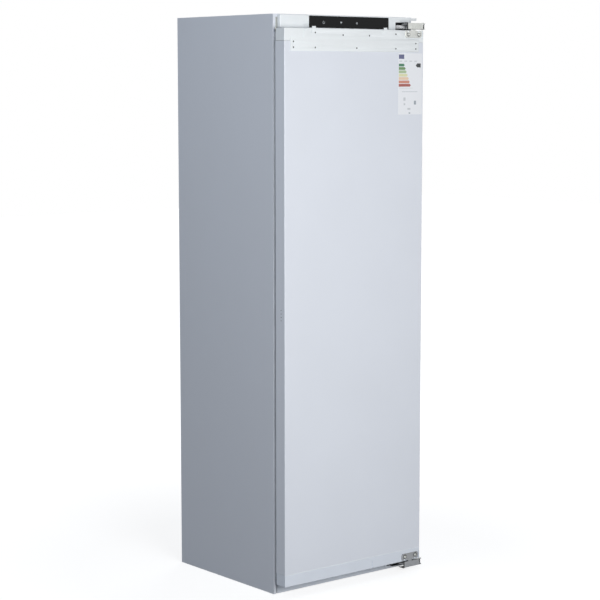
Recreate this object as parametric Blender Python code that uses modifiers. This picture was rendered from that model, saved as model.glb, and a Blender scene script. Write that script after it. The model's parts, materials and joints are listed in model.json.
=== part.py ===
"""Integrated column refrigerator for a kitchen niche, modelled as separate pieces.

Metres, +Z up, +X to the right, the door faces -Y. The origin is the middle of the cabinet's underside.
Run with: blender --background --python part.py
"""
import math

import bmesh
import bpy
from mathutils import Matrix, Vector

# Cabinet
CABINET_WIDTH = 0.556
CABINET_HEIGHT = 1.772
CABINET_DEPTH = 0.4904
SHEET = 0.001
FLANGE = 0.013
GAP = 0.0003
SHELL_LIFT = 0.0006
BACK_RECESS = 0.030
BACK_SHEET = 0.0008
BEAD_LINE = [0.155, 0.147, 0.093, 0.085]
BEAD_RISES = [0.0, 0.004, 0.004, 0.0]
NICHE_DEPTH = 0.205
NICHE_HEIGHT = 0.2345
NICHE_FOOT = 0.0335
FOAM_FRONT = 0.0030
FOAM_BOTTOM = 0.034
PAN_FRONT = 0.016
PAN_HEIGHT = 0.030
PAN_SHEET = 0.0015
PLINTH_FOOT = 0.0008
PLINTH_TOP = 0.0435
PLINTH_DEPTH = 0.014
PLINTH_WALL = 0.003
RAIL_SHEET = 0.0014

# Inner liner: clear inner sizes
LINER_HALF_WIDTH = 0.2315
LINER_FLOOR = 0.088
LINER_TOP = 1.690
LINER_DEPTH = 0.412
STEP_DEPTH = 0.250
STEP_TOP = 0.272
LINER_WALL = 0.0015
LINER_ROUND = 0.008
LINER_FLANGE_HALF = 0.264
LINER_FLANGE_BOTTOM = 0.0445
LINER_FLANGE_TOP = 1.7300

# Ribs and rails on the liner, and what they carry
RIB_REACH = 0.008
RIB_HEIGHT = 0.008
RIB_FRONT = 0.118
RIB_REAR = 0.400
RIB_LEVELS = [0.640 + 0.105 * step for step in range(10)]
SHELF_LEVELS = [0.745, 0.955, 1.165, 1.375, 1.585]
SHELF_HALF_WIDTH = 0.2285
SHELF_FRONT = 0.122
SHELF_REAR = 0.372
SHELF_THICKNESS = 0.004
TRIM_HALF_WIDTH = 0.2220
COVER_LEVEL = 0.512
COVER_REAR = 0.405
DRAWER_RAILS = {"lower": 0.3225, "upper": 0.4925}
RAIL_REACH = 0.015
RAIL_HEIGHT = 0.0085

# Crisper drawers
DRAWER_RIMS = {"lower": 0.3250, "upper": 0.4950}
DRAWER_FLOORS = {"lower": 0.0960, "upper": 0.3400}
DRAWER_HALF_WIDTH = 0.2115
DRAWER_RIM_HALF = 0.2275
DRAWER_FRONT = 0.110
DRAWER_REAR = 0.392
DRAWER_STEP = 0.2430
DRAWER_STEP_TOP = 0.2780
DRAWER_WALL = 0.0022

# Door
DOOR_HALF_WIDTH = 0.279
DOOR_FRONT = 0.0565
DOOR_BACK = 0.0115
DOOR_BOTTOM = 0.0337
DOOR_TOP = 1.7297
DOOR_RETURN = 0.016
SKIN_BOTTOM = 0.0708
SKIN_TOP = 1.6920
SKIN = 0.0008
DOOR_LINER_HALF = 0.2612
DOOR_LINER_BOTTOM = 0.0505
DOOR_LINER_TOP = 1.7175
DYKE_HEIGHT = 0.045
DYKE_HALF_WIDTH = 0.215
DYKE_OUTER_TAPER = 0.004
DYKE_CREST = 0.017
DYKE_INNER_TAPER = 0.003
DYKE_CORNER = 0.006
SIDE_MARKS = [0.856, 0.866, 0.8765, 0.887]
CAP_LAP = 0.0018
CAP_POCKET_TOP = 1.7060
CAP_POCKET_BOTTOM = 0.0585

# Door bins: name, rim height, depth of the well and reach from the door's inner face
BINS = [("bottle_bin", 0.262, 0.112, 0.100), ("door_bin_1", 0.560, 0.072, 0.092),
        ("door_bin_2", 0.850, 0.072, 0.092), ("door_bin_3", 1.140, 0.072, 0.092),
        ("door_bin_4", 1.430, 0.072, 0.092)]
BIN_HALF_WIDTH = 0.1790
BIN_RIM = 0.0085
BIN_WALL = 0.0022
BIN_CORNER = 0.006
LUG_INNER = 0.1800
LUG_OUTER = 0.1934

# Door seal
SEAL_HALF_WIDTH = 0.2600
SEAL_BOTTOM = 0.0525
SEAL_TOP = 1.7155
SEAL_WIDTH = 0.020
SEAL_GROOVE = 0.0045

# Fascia and control panel
FASCIA_HALF_WIDTH = 0.2615
FASCIA_BOTTOM = 1.7310
FASCIA_TOP = 1.7705
FASCIA_DEPTH = 0.0135
FASCIA_WALL = 0.0015
WINDOW_RIM = 0.0018
GLASS_LEFT = -0.1500
GLASS_RIGHT = 0.1710
GLASS_THICKNESS = 0.003
BOARD_BOTTOM = 1.7375
BOARD_TOP = 1.7640
BOARD_THICKNESS = 0.0016
CHIP_CENTRES = [-0.10, -0.04, 0.03, 0.09, 0.13]

# Hinges: pivot places in plan, x and distance behind the cabinet's front plane
ARM_ON_CABINET = (0.2360, -0.0090)
ARM_ON_DOOR = (0.2860, -0.0470)
STAY_ON_CABINET = (0.2032, 0.0350)
STAY_ON_DOOR = (0.2905, -0.0365)
HINGE_TOP_Z = 1.7435
HINGE_BOTTOM_Z = 0.0210
PIN_RADIUS = 0.003
STAY_PIN_RADIUS = 0.0025
PIN_PLAY = 0.0005
STAY_SLOT_TRAVEL = 0.0070
STAY_SLOT_SHIFT = 0.0009
STAY_SLOT_PLAY = 0.0014

# Hinge layers: heights from the hinge's middle, counted towards the cabinet's nearer end
ARM_LAYER = (0.0050, 0.0081)
STAY_LAYER = (-0.0078, 0.0044)
ARM_PIN_LAYER = (0.0047, 0.0105)
STAY_PIN_LAYER = (-0.0095, 0.0047)

# Cabinet half of the hinge, and the opening that it passes through
HOUSING_HALF = 0.0112
HOUSING_LEFT = 0.1885
HOUSING_NECK_LEFT = 0.2004
HOUSING_RIGHT = 0.2640
HOUSING_NOSE = 0.0130
HOUSING_FRONT = 0.0021
HOUSING_BACK = 0.0552
HOUSING_WALL = 0.0012
HOUSING_SIDE_OPENING = 0.2500
OPENING_LEFT = 0.1875
OPENING_RIGHT = 0.2655
OPENING_HALF = 0.0118

# Door half of the hinge: a channel and its T foot
CHANNEL_LEFT = 0.2125
CHANNEL_FRONT = 0.0549
CHANNEL_REAR = 0.0385
CHANNEL_HALF = 0.0100
CHANNEL_SHEET = 0.0016
FOOT_STEM = (0.2320, 0.2475)
FOOT_SIDES = (0.2035, 0.2750)
FOOT_SLOTS = ((0.2140, 0.2205), (0.2585, 0.2650))
FOOT_START = 0.0093
FOOT_SHOULDER = 0.0150
FOOT_SLOT_END = 0.0215
FOOT_END = 0.0368
FOOT_ROUND = 0.0085
SHOULDER_ROUND = 0.0050

# Furniture mounting plate, in the door's front plane
PLATE_HALF_WIDTH = 0.258
PLATE_BOTTOM = 1.6622
PLATE_SHOULDER = 1.7028
PLATE_TOP = 1.7298
PLATE_UPPER_LEFT = -0.206
PLATE_UPPER_RIGHT = 0.1965
PLATE_CHAMFER = 0.010
PLATE_THICKNESS = 0.0017
PLATE_HOLE_RADIUS = 0.0026
PLATE_HOLES = [(-0.246, 1.6895), (-0.246, 1.6725), (0.246, 1.6895), (0.246, 1.6725),
               (-0.162, 1.6725), (0.002, 1.6725), (0.162, 1.6725),
               (-0.162, 1.7170), (0.162, 1.7170), (-0.053, 1.7110), (0.053, 1.7110)]
PLATE_SLOTS = [-0.180, 0.106]
TONGUE_TOP = 1.7360

# Air duct, fan and lamp
DUCT_HALF_WIDTH = 0.095
DUCT_FRONT = 0.385
DUCT_BOTTOM = 0.600
DUCT_TOP = 1.640
DUCT_WALL = 0.002
OUTLET_ROWS = 6
OUTLET_BOTTOM = 0.680
OUTLET_PITCH = 0.115
OUTLET_HEIGHT = 0.010
OUTLET_HALF_WIDTH = 0.058
GRILLE_SLOTS = 12
FAN_HEIGHT = 1.500
FAN_DEPTH = 0.3965
FAN_RADIUS = 0.042
FAN_HUB_RADIUS = 0.017
FAN_PITCH = 55
BLADES = 7
LAMP_HALF_WIDTH = 0.12
LAMP_FRONT = 0.150
LAMP_REAR = 0.200
LAMP_DROP = 0.011
DIODES = 6

# Compressor niche and condenser
COMPRESSOR_CENTRE = (0.055, 0.1585)
COMPRESSOR_PROFILE = [(0.0, 0.168), (0.030, 0.166), (0.056, 0.156), (0.070, 0.136), (0.074, 0.112),
                      (0.077, 0.111), (0.077, 0.105), (0.074, 0.104), (0.072, 0.072), (0.060, 0.050),
                      (0.035, 0.041), (0.0, 0.039)]
COMPRESSOR_FEET = (0.092, 0.042)
FOOT_PLATE = (0.105, 0.055)
TRAY_HALF = (0.085, 0.060)
TRAY_BOTTOM = 0.1690
TRAY_TOP = 0.2000
COIL_DEPTH = 0.0135
COIL_HALF_WIDTH = 0.225
COIL_BOTTOM = 0.330
COIL_PITCH = 0.110
COIL_PASSES = 12
COIL_TUBE = 0.0024
COIL_WIRES = 9
COIL_WIRE_PITCH = 0.040

FRONT = -CABINET_DEPTH / 2
BACK = CABINET_DEPTH / 2
HALF = CABINET_WIDTH / 2


def behind(distance):
    """World y of a point this far behind the cabinet's front plane."""
    return FRONT + distance


def ahead(distance):
    """World y of a point this far ahead of the cabinet's front plane."""
    return FRONT - distance


def pivot(place):
    """World x and y of a hinge pivot."""
    return (place[0], behind(place[1]))


def layer(middle, away, span):
    """Low and high level of a span counted from a hinge's middle towards the cabinet's nearer end."""
    levels = [middle + away * height for height in span]
    return min(levels), max(levels)


# Scene and materials

def clear_scene():
    for old in list(bpy.data.objects):
        bpy.data.objects.remove(old)


def new_collection(name):
    group = bpy.data.collections.new(name)
    bpy.context.scene.collection.children.link(group)
    return group


def finish(name, colour, roughness, metallic=0.0, alpha=1.0):
    material = bpy.data.materials.new(name)
    material.use_nodes = True
    shader = material.node_tree.nodes["Principled BSDF"]
    shader.inputs["Base Color"].default_value = (*colour, 1.0)
    shader.inputs["Roughness"].default_value = roughness
    shader.inputs["Metallic"].default_value = metallic
    shader.inputs["Alpha"].default_value = alpha
    return material


def make_finishes():
    return {
        "grey_enamel": finish("grey_enamel", (0.42, 0.45, 0.49), 0.45),
        "pale_enamel": finish("pale_enamel", (0.68, 0.71, 0.75), 0.40),
        "white_moulding": finish("white_moulding", (0.78, 0.80, 0.83), 0.45),
        "liner_white": finish("liner_white", (0.84, 0.85, 0.86), 0.35),
        "black_glass": finish("black_glass", (0.012, 0.013, 0.015), 0.08),
        "clear_glass": finish("clear_glass", (0.75, 0.85, 0.82), 0.03, alpha=0.35),
        "clear_plastic": finish("clear_plastic", (0.80, 0.84, 0.87), 0.12, alpha=0.45),
        "zinc_steel": finish("zinc_steel", (0.62, 0.62, 0.61), 0.35, metallic=1.0),
        "black_plastic": finish("black_plastic", (0.02, 0.02, 0.02), 0.55),
        "black_enamel": finish("black_enamel", (0.025, 0.025, 0.028), 0.35),
        "rubber": finish("rubber", (0.16, 0.165, 0.17), 0.75),
        "foam": finish("foam", (0.75, 0.68, 0.45), 0.9),
        "circuit_board": finish("circuit_board", (0.02, 0.16, 0.07), 0.5),
    }


# Shapes

class Workshop:
    """Makes objects in the refrigerator's collection and cutters in their own."""

    def __init__(self):
        self.parts = new_collection("column_refrigerator")
        self.cutters = new_collection("cutters")
        self.finishes = make_finishes()
        self.count = 0

    def add(self, name, mesh, finish_name, origin=(0, 0, 0)):
        """Puts a mesh drawn in world coordinates into a part whose origin is at the given point."""
        mesh.transform(Matrix.Translation(-Vector(origin)))
        mesh.materials.append(self.finishes[finish_name])
        part = bpy.data.objects.new(name, mesh)
        part.location = origin
        self.parts.objects.link(part)
        return part

    def cutter(self, mesh):
        self.count += 1
        tool = bpy.data.objects.new(f"cutter_{self.count:03d}", mesh)
        tool.hide_render = True
        tool.display_type = "WIRE"
        self.cutters.objects.link(tool)
        return tool

    def boolean(self, part, mesh, operation="DIFFERENCE"):
        modifier = part.modifiers.new(operation.lower(), "BOOLEAN")
        modifier.operation = operation
        modifier.solver = "EXACT"
        modifier.object = self.cutter(mesh)
        return part

    def cut(self, part, mesh):
        return self.boolean(part, mesh, "DIFFERENCE")

    def fuse(self, part, mesh):
        return self.boolean(part, mesh, "UNION")


def to_mesh(name, form):
    mesh = bpy.data.meshes.new(name)
    form.to_mesh(mesh)
    form.free()
    return mesh


def block_form(low, high):
    form = bmesh.new()
    bmesh.ops.create_cube(form, size=1.0)
    size = Vector(high) - Vector(low)
    centre = (Vector(high) + Vector(low)) / 2
    bmesh.ops.scale(form, vec=size, verts=form.verts)
    bmesh.ops.translate(form, vec=centre, verts=form.verts)
    return form


def block(low, high):
    return to_mesh("block", block_form(low, high))


def tapered_block(low, high, taper, corner=0.0):
    """A box whose rear end is drawn in by the taper on all four sides, or let out by a negative one."""
    form = block_form(low, high)
    centre = (Vector(high) + Vector(low)) / 2
    for vert in form.verts:
        if vert.co.y > centre.y:
            vert.co.x -= taper * math.copysign(1, vert.co.x - centre.x)
            vert.co.z -= taper * math.copysign(1, vert.co.z - centre.z)
    if corner:
        lengthwise = [edge for edge in form.edges if abs(edge.verts[0].co.y - edge.verts[1].co.y) > 0.001]
        bmesh.ops.bevel(form, geom=lengthwise, offset=corner, segments=1, affect="EDGES")
    return to_mesh("tapered_block", form)


def blocks(corners):
    """Several separate boxes in one mesh, for cutting or fusing at once."""
    form = bmesh.new()
    for low, high in corners:
        piece = block(low, high)
        form.from_mesh(piece)
        bpy.data.meshes.remove(piece)
    return to_mesh("blocks", form)


def side_matrix(direction):
    """Turns +Z to the given direction."""
    return Vector((0, 0, 1)).rotation_difference(Vector(direction)).to_matrix().to_4x4()


def drum_form(centre, direction, radius, length, sides=24, end_radius=None):
    form = bmesh.new()
    bmesh.ops.create_cone(form, cap_ends=True, segments=sides, radius1=radius,
                          radius2=radius if end_radius is None else end_radius, depth=length)
    bmesh.ops.transform(form, matrix=Matrix.Translation(centre) @ side_matrix(direction), verts=form.verts)
    return form


def drum(centre, direction, radius, length, sides=24, end_radius=None):
    return to_mesh("drum", drum_form(centre, direction, radius, length, sides, end_radius))


def drums(places, direction, radius, length, sides=16):
    form = bmesh.new()
    for centre in places:
        piece = drum(centre, direction, radius, length, sides)
        form.from_mesh(piece)
        bpy.data.meshes.remove(piece)
    return to_mesh("drums", form)


def arc(centre, radius, start, end, steps):
    """Points on an arc, angles in degrees, both ends included."""
    points = []
    for step in range(steps + 1):
        angle = math.radians(start + (end - start) * step / steps)
        points.append((centre[0] + radius * math.cos(angle), centre[1] + radius * math.sin(angle)))
    return points


def curve_to_mesh(curve_data):
    """Turns a curve into a closed mesh and removes the curve."""
    carrier = bpy.data.objects.new("carrier", curve_data)
    bpy.context.scene.collection.objects.link(carrier)
    bpy.context.view_layer.update()
    graph = bpy.context.evaluated_depsgraph_get()
    mesh = bpy.data.meshes.new_from_object(carrier.evaluated_get(graph))
    bpy.data.objects.remove(carrier)
    bpy.data.curves.remove(curve_data)
    form = bmesh.new()
    form.from_mesh(mesh)
    bmesh.ops.remove_doubles(form, verts=form.verts, dist=0.00001)
    bmesh.ops.recalc_face_normals(form, faces=form.faces)
    form.to_mesh(mesh)
    form.free()
    mesh.materials.clear()
    return mesh


def outline(loops, low, high, plane="XY"):
    """A flat outline, with any inner loops as holes, extruded between two levels of the third axis."""
    data = bpy.data.curves.new("outline", "CURVE")
    data.dimensions = "2D"
    data.fill_mode = "BOTH"
    data.extrude = (high - low) / 2
    for loop in loops:
        spline = data.splines.new("POLY")
        spline.points.add(len(loop) - 1)
        for point, (u, v) in zip(spline.points, loop):
            point.co = (u, v, 0, 1)
        spline.use_cyclic_u = True
    mesh = curve_to_mesh(data)
    middle = (high + low) / 2
    # plan view, seen from above; XZ is seen from the front; YZ from the right
    if plane == "XY":
        place = Matrix(((1, 0, 0, 0), (0, 1, 0, 0), (0, 0, 1, middle), (0, 0, 0, 1)))
    elif plane == "XZ":
        place = Matrix(((1, 0, 0, 0), (0, 0, -1, middle), (0, 1, 0, 0), (0, 0, 0, 1)))
    else:
        place = Matrix(((0, 0, 1, middle), (1, 0, 0, 0), (0, 1, 0, 0), (0, 0, 0, 1)))
    mesh.transform(place)
    return mesh


def tube(path, radius, resolution=2):
    """A round tube with filled ends along a list of points."""
    data = bpy.data.curves.new("tube", "CURVE")
    data.dimensions = "3D"
    data.bevel_depth = radius
    data.bevel_resolution = resolution
    data.use_fill_caps = True
    spline = data.splines.new("POLY")
    spline.points.add(len(path) - 1)
    for point, place in zip(spline.points, path):
        point.co = (*place, 1)
    return curve_to_mesh(data)


def sheet(polyline, low, high, plane, closed=False):
    """An open surface: a bent line drawn in a plane and drawn out between two levels of the third axis."""
    form = bmesh.new()

    def place(u, v, w):
        return {"XY": (u, v, w), "YZ": (w, u, v), "XZ": (u, w, v)}[plane]

    first = [form.verts.new(place(u, v, low)) for u, v in polyline]
    second = [form.verts.new(place(u, v, high)) for u, v in polyline]
    count = len(polyline)
    for index in range(count if closed else count - 1):
        after = (index + 1) % count
        form.faces.new((first[index], first[after], second[after], second[index]))
    return form


def thicken(part, thickness, offset=-1.0):
    modifier = part.modifiers.new("thickness", "SOLIDIFY")
    modifier.thickness = thickness
    modifier.offset = offset
    modifier.use_even_offset = True
    return modifier


def round_edges(part, width, segments=2, angle=40.0):
    modifier = part.modifiers.new("rounding", "BEVEL")
    modifier.width = width
    modifier.segments = segments
    modifier.limit_method = "ANGLE"
    modifier.angle_limit = math.radians(angle)
    return modifier


def smooth(part, angle=35.0):
    """Shades a round piece as one curve and keeps its sharp edges."""
    part.data.shade_smooth()
    part.data.set_sharp_from_angle(angle=math.radians(angle))
    return part


def faces_towards(form, direction, limit=0.9):
    wanted = Vector(direction)
    form.normal_update()
    return [face for face in form.faces if face.normal.dot(wanted) > limit]


# Cabinet casing

def outer_shell(shop):
    """Side panels and top folded from one sheet, with a narrow return flange round the front."""
    form = block_form((-HALF, FRONT, SHELL_LIFT), (HALF, BACK, CABINET_HEIGHT))
    open_faces = faces_towards(form, (0, 0, -1)) + faces_towards(form, (0, 1, 0))
    bmesh.ops.delete(form, geom=open_faces, context="FACES")
    front = faces_towards(form, (0, -1, 0))
    bmesh.ops.inset_individual(form, faces=front, thickness=FLANGE, depth=0)
    middle = [face for face in faces_towards(form, (0, -1, 0))
              if face.calc_area() > 0.5 or face.calc_center_median().z < FLANGE]
    bmesh.ops.delete(form, geom=middle, context="FACES")
    for vert in form.verts:
        if vert.co.z < 2 * FLANGE:
            vert.co.z = SHELL_LIFT
    part = shop.add("outer_shell", to_mesh("outer_shell", form), "grey_enamel")
    thicken(part, SHEET)
    return part


def back_panel(shop):
    """Rear sheet with two pressed stiffening beads, set in from the rear edges for the condenser."""
    plane = BACK - BACK_RECESS
    half = HALF - SHEET - GAP
    bead = list(zip(BEAD_LINE, BEAD_RISES))
    line = [(half, plane)]
    line += [(x, plane + rise) for x, rise in bead]
    line += [(-x, plane + rise) for x, rise in reversed(bead)]
    line.append((-half, plane))
    form = sheet(line, NICHE_HEIGHT + PAN_SHEET, CABINET_HEIGHT - SHEET - GAP, "XY")
    part = shop.add("back_panel", to_mesh("back_panel", form), "zinc_steel")
    thicken(part, BACK_SHEET, 0.0)
    return part


def niche_panel(shop):
    """Bent sheet that roofs the compressor niche and closes its front."""
    wall = BACK - NICHE_DEPTH
    line = [(BACK - BACK_RECESS, NICHE_HEIGHT), (wall, NICHE_HEIGHT), (wall, NICHE_FOOT)]
    half = HALF - SHEET - GAP
    part = shop.add("niche_panel", to_mesh("niche_panel", sheet(line, -half, half, "YZ")), "zinc_steel")
    thicken(part, SHEET, 0.0)
    return part


def base_pan(shop):
    """Tray under the whole cabinet: the face it stands on."""
    half = HALF - SHEET - GAP
    form = block_form((-half, behind(PAN_FRONT), 0.0), (half, BACK - 0.001, PAN_HEIGHT))
    open_faces = faces_towards(form, (0, 0, 1)) + faces_towards(form, (0, 1, 0))
    bmesh.ops.delete(form, geom=open_faces, context="FACES")
    part = shop.add("base_pan", to_mesh("base_pan", form), "zinc_steel")
    thicken(part, PAN_SHEET)
    # room for the lower hinge's housing
    shop.cut(part, block((0.184, behind(0.010), 0.008), (0.268, behind(0.020), 0.040)))
    return part


def hinge_opening(middle, right):
    """What a front rail lacks so that a hinge housing can pass through it."""
    return block((OPENING_LEFT, behind(-0.01), middle - OPENING_HALF),
                 (right, behind(0.02), middle + OPENING_HALF))


def plinth_rail(shop):
    """White strip that closes the cabinet's foot between the side flanges."""
    half = HALF - FLANGE - 0.0005
    part = shop.add("plinth_rail", block((-half, behind(0), PLINTH_FOOT),
                                         (half, behind(PLINTH_DEPTH), PLINTH_TOP)), "white_moulding")
    round_edges(part, 0.001, 1)
    shop.cut(part, hinge_opening(HINGE_BOTTOM_Z, HALF))
    shop.cut(part, block((-half + PLINTH_WALL, behind(PLINTH_WALL), PLINTH_FOOT + PLINTH_WALL),
                         (0.180, behind(0.02), PLINTH_TOP - PLINTH_WALL)))
    return part


def top_rail(shop):
    """Steel strip behind the flanges that carries the fascia and the upper hinge."""
    half = HALF - SHEET - GAP
    front = SHEET + GAP
    part = shop.add("top_rail", block((-half, behind(front), LINER_FLANGE_TOP + 0.0006),
                                      (half, behind(front + RAIL_SHEET), CABINET_HEIGHT - SHEET - GAP)),
                    "zinc_steel")
    shop.cut(part, hinge_opening(HINGE_TOP_Z, OPENING_RIGHT))
    return part


def liner_side_line(extra):
    """Side view of the liner, front bottom to front top, grown outwards by the given wall."""
    return [(behind(0), LINER_FLOOR - extra), (behind(STEP_DEPTH + extra), LINER_FLOOR - extra),
            (behind(STEP_DEPTH + extra), STEP_TOP - extra), (behind(LINER_DEPTH + extra), STEP_TOP - extra),
            (behind(LINER_DEPTH + extra), LINER_TOP + extra), (behind(0), LINER_TOP + extra)]


def liner_tub_form():
    """Open tub with the step over the compressor and a flange round its mouth."""
    form = sheet(liner_side_line(0), -LINER_HALF_WIDTH, LINER_HALF_WIDTH, "YZ", closed=True)
    mouth = [face for face in form.faces
             if all(abs(vert.co.y - behind(0)) < 1e-6 for vert in face.verts)]
    bmesh.ops.delete(form, geom=mouth, context="FACES_ONLY")
    for side in (-LINER_HALF_WIDTH, LINER_HALF_WIDTH):
        ring = [vert for vert in form.verts if abs(vert.co.x - side) < 1e-6]
        edges = [edge for edge in form.edges if edge.verts[0] in ring and edge.verts[1] in ring]
        if not any(set(edge.verts) == {ring[0], ring[-1]} for edge in edges):
            edges.append(form.edges.new((ring[0], ring[-1])))
        bmesh.ops.contextual_create(form, geom=edges)
    rim = [edge for edge in form.edges if all(abs(vert.co.y - behind(0)) < 1e-6 for vert in edge.verts)]
    grown = bmesh.ops.extrude_edge_only(form, edges=rim)["geom"]
    for vert in [item for item in grown if isinstance(item, bmesh.types.BMVert)]:
        vert.co.x = LINER_FLANGE_HALF if vert.co.x > 0 else -LINER_FLANGE_HALF
        vert.co.z = LINER_FLANGE_TOP if vert.co.z > 1 else LINER_FLANGE_BOTTOM
    bmesh.ops.recalc_face_normals(form, faces=form.faces)
    return form


def inner_liner(shop):
    """Thermoformed tub with shelf ribs and drawer rails on its side walls."""
    form = liner_tub_form()
    inside = [face for face in form.faces
              if abs(face.normal.y) > 0.9 and abs(face.calc_center_median().y - behind(LINER_DEPTH)) < 1e-4]
    if inside[0].normal.y > 0:
        bmesh.ops.reverse_faces(form, faces=form.faces)
    part = shop.add("inner_liner", to_mesh("inner_liner", form), "liner_white")
    round_edges(part, LINER_ROUND, 2, 30)
    thicken(part, LINER_WALL)
    ribs = []
    for side in (-1, 1):
        levels = [(level, RIB_REACH, RIB_HEIGHT) for level in RIB_LEVELS + [COVER_LEVEL]]
        levels += [(level, RAIL_REACH, RAIL_HEIGHT) for level in DRAWER_RAILS.values()]
        for level, reach, height in levels:
            inner = side * (LINER_HALF_WIDTH - reach)
            outer = side * (LINER_HALF_WIDTH + LINER_WALL / 2)
            ribs.append(((min(inner, outer), behind(RIB_FRONT), level - height),
                         (max(inner, outer), behind(RIB_REAR), level)))
    shop.fuse(part, blocks(ribs))
    return part


def cabinet_foam(shop):
    """Insulation between the casing and the liner."""
    half = HALF - SHEET - GAP
    top = CABINET_HEIGHT - SHEET - GAP
    part = shop.add("cabinet_foam", block((-half, behind(FOAM_FRONT), FOAM_BOTTOM),
                                          (half, BACK - BACK_RECESS - BACK_SHEET, top)), "foam")
    wall = LINER_WALL + 0.0004
    line = liner_side_line(wall)
    line[0] = (behind(-0.01), line[0][1])
    line[-1] = (behind(-0.01), line[-1][1])
    corner = line[2]
    line[2:3] = [(corner[0], corner[1] - LINER_ROUND - 0.002), (corner[0] + LINER_ROUND + 0.002, corner[1])]
    room = LINER_HALF_WIDTH + wall
    shop.cut(part, outline([line], -room, room, "YZ"))
    mouth = wall + LINER_ROUND + 0.001
    shop.cut(part, block((-LINER_HALF_WIDTH - mouth, behind(-0.01), LINER_FLOOR - mouth),
                         (LINER_HALF_WIDTH + mouth, behind(mouth), LINER_TOP + mouth)))
    shop.cut(part, block((-half - 0.01, behind(-0.01), 0.0),
                         (half + 0.01, behind(PLINTH_DEPTH + GAP), PLINTH_TOP + GAP)))
    shop.cut(part, block((-half - 0.01, BACK - NICHE_DEPTH - BACK_SHEET, 0.0),
                         (half + 0.01, BACK, NICHE_HEIGHT + BACK_SHEET)))
    shop.cut(part, block((OPENING_LEFT - 0.0005, behind(-0.01), HINGE_TOP_Z - OPENING_HALF),
                         (OPENING_RIGHT + 0.0005, behind(HOUSING_BACK + 0.001), HINGE_TOP_Z + OPENING_HALF)))
    return part


# Fascia and controls

def fascia(shop):
    """Moulded header with the control window and the upper hinge's opening."""
    form = block_form((-FASCIA_HALF_WIDTH, ahead(FASCIA_DEPTH), FASCIA_BOTTOM),
                      (FASCIA_HALF_WIDTH, ahead(GAP), FASCIA_TOP))
    bmesh.ops.delete(form, geom=faces_towards(form, (0, 1, 0)), context="FACES")
    part = shop.add("fascia", to_mesh("fascia", form), "white_moulding")
    round_edges(part, 0.0022, 2)
    thicken(part, FASCIA_WALL)
    window_low = FASCIA_BOTTOM + WINDOW_RIM
    window_high = FASCIA_TOP - WINDOW_RIM
    window = ((GLASS_LEFT - GAP, ahead(0.02), window_low), (GLASS_RIGHT + GAP, ahead(0.009), window_high))
    notch = ((HOUSING_NECK_LEFT - 0.0006, ahead(0.02), FASCIA_BOTTOM - 0.01),
             (HALF, behind(0.01), HINGE_TOP_Z + OPENING_HALF))
    shop.cut(part, blocks([window, notch]))
    return part


def control_glass(shop):
    low = FASCIA_BOTTOM + WINDOW_RIM + GAP
    high = FASCIA_TOP - WINDOW_RIM - GAP
    part = shop.add("control_glass", block((GLASS_LEFT, ahead(FASCIA_DEPTH - 0.0002), low),
                                           (GLASS_RIGHT, ahead(FASCIA_DEPTH - GLASS_THICKNESS), high)),
                    "black_glass")
    round_edges(part, 0.0004, 1)
    return part


def control_board(shop):
    """Touch circuit board behind the glass, with its components."""
    front = FASCIA_DEPTH - GLASS_THICKNESS - GAP
    part = shop.add("control_board", block((GLASS_LEFT + 0.01, ahead(front), BOARD_BOTTOM),
                                           (GLASS_RIGHT - 0.01, ahead(front - BOARD_THICKNESS), BOARD_TOP)),
                    "circuit_board")
    chips = []
    for centre in CHIP_CENTRES:
        chips.append(((centre - 0.008, ahead(front - BOARD_THICKNESS + 0.0004), BOARD_BOTTOM + 0.0065),
                      (centre + 0.008, ahead(front - 0.0045), BOARD_TOP - 0.0070)))
    shop.fuse(part, blocks(chips))
    return part


def niche_tab(shop):
    """Fixing tab at the upper hinge side: it screws the cabinet to the niche's side panel."""
    part = shop.add("niche_tab", block((0.2670, ahead(0.0020), 1.7620), (0.2996, ahead(GAP), 1.7700)),
                    "white_moulding")
    round_edges(part, 0.0006, 1)
    shop.cut(part, drum((0.290, ahead(0.001), 1.766), (0, 1, 0), 0.0022, 0.02, 12))
    return part


# Hinges

def bar_outline(first, second, first_radius, second_radius, steps=6):
    """Plan outline of a link: two round ends joined by straight sides."""
    a = Vector(first)
    b = Vector(second)
    heading = math.degrees(math.atan2(b.y - a.y, b.x - a.x))
    points = arc(a, first_radius, heading + 90, heading + 270, steps)
    points += arc(b, second_radius, heading - 90, heading + 90, steps)
    return points


def circle(centre, radius, sides=16):
    return arc(centre, radius, 0, 360 - 360 / sides, sides - 1)


def hinge_arm(shop, name, middle, away):
    """Main arm: a flat link from the cabinet's pivot to the door's knuckle."""
    cabinet = pivot(ARM_ON_CABINET)
    door = pivot(ARM_ON_DOOR)
    loops = [bar_outline(cabinet, door, 0.0065, 0.0056),
             circle(cabinet, PIN_RADIUS + PIN_PLAY), circle(door, PIN_RADIUS + PIN_PLAY)]
    mesh = outline(loops, *layer(middle, away, ARM_LAYER))
    return shop.add(name, mesh, "zinc_steel", (cabinet[0], cabinet[1], middle))


def hinge_stay(shop, name, middle, away):
    """Second link: a deep bar that pivots on the door and slides on the cabinet's pin in a slot."""
    cabinet = Vector(pivot(STAY_ON_CABINET))
    door = Vector(pivot(STAY_ON_DOOR))
    along = (door - cabinet).normalized()
    slot_start = cabinet + Vector((along.y, -along.x)) * STAY_SLOT_SHIFT
    slot_end = slot_start + along * STAY_SLOT_TRAVEL
    slot_radius = STAY_PIN_RADIUS + STAY_SLOT_PLAY
    loops = [bar_outline(tuple(slot_start), tuple(door), 0.0075, 0.0056),
             bar_outline(tuple(slot_start), tuple(slot_end), slot_radius, slot_radius, 5),
             circle(tuple(door), STAY_PIN_RADIUS + PIN_PLAY)]
    mesh = outline(loops, *layer(middle, away, STAY_LAYER))
    return shop.add(name, mesh, "zinc_steel", (door.x, door.y, middle))


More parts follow.
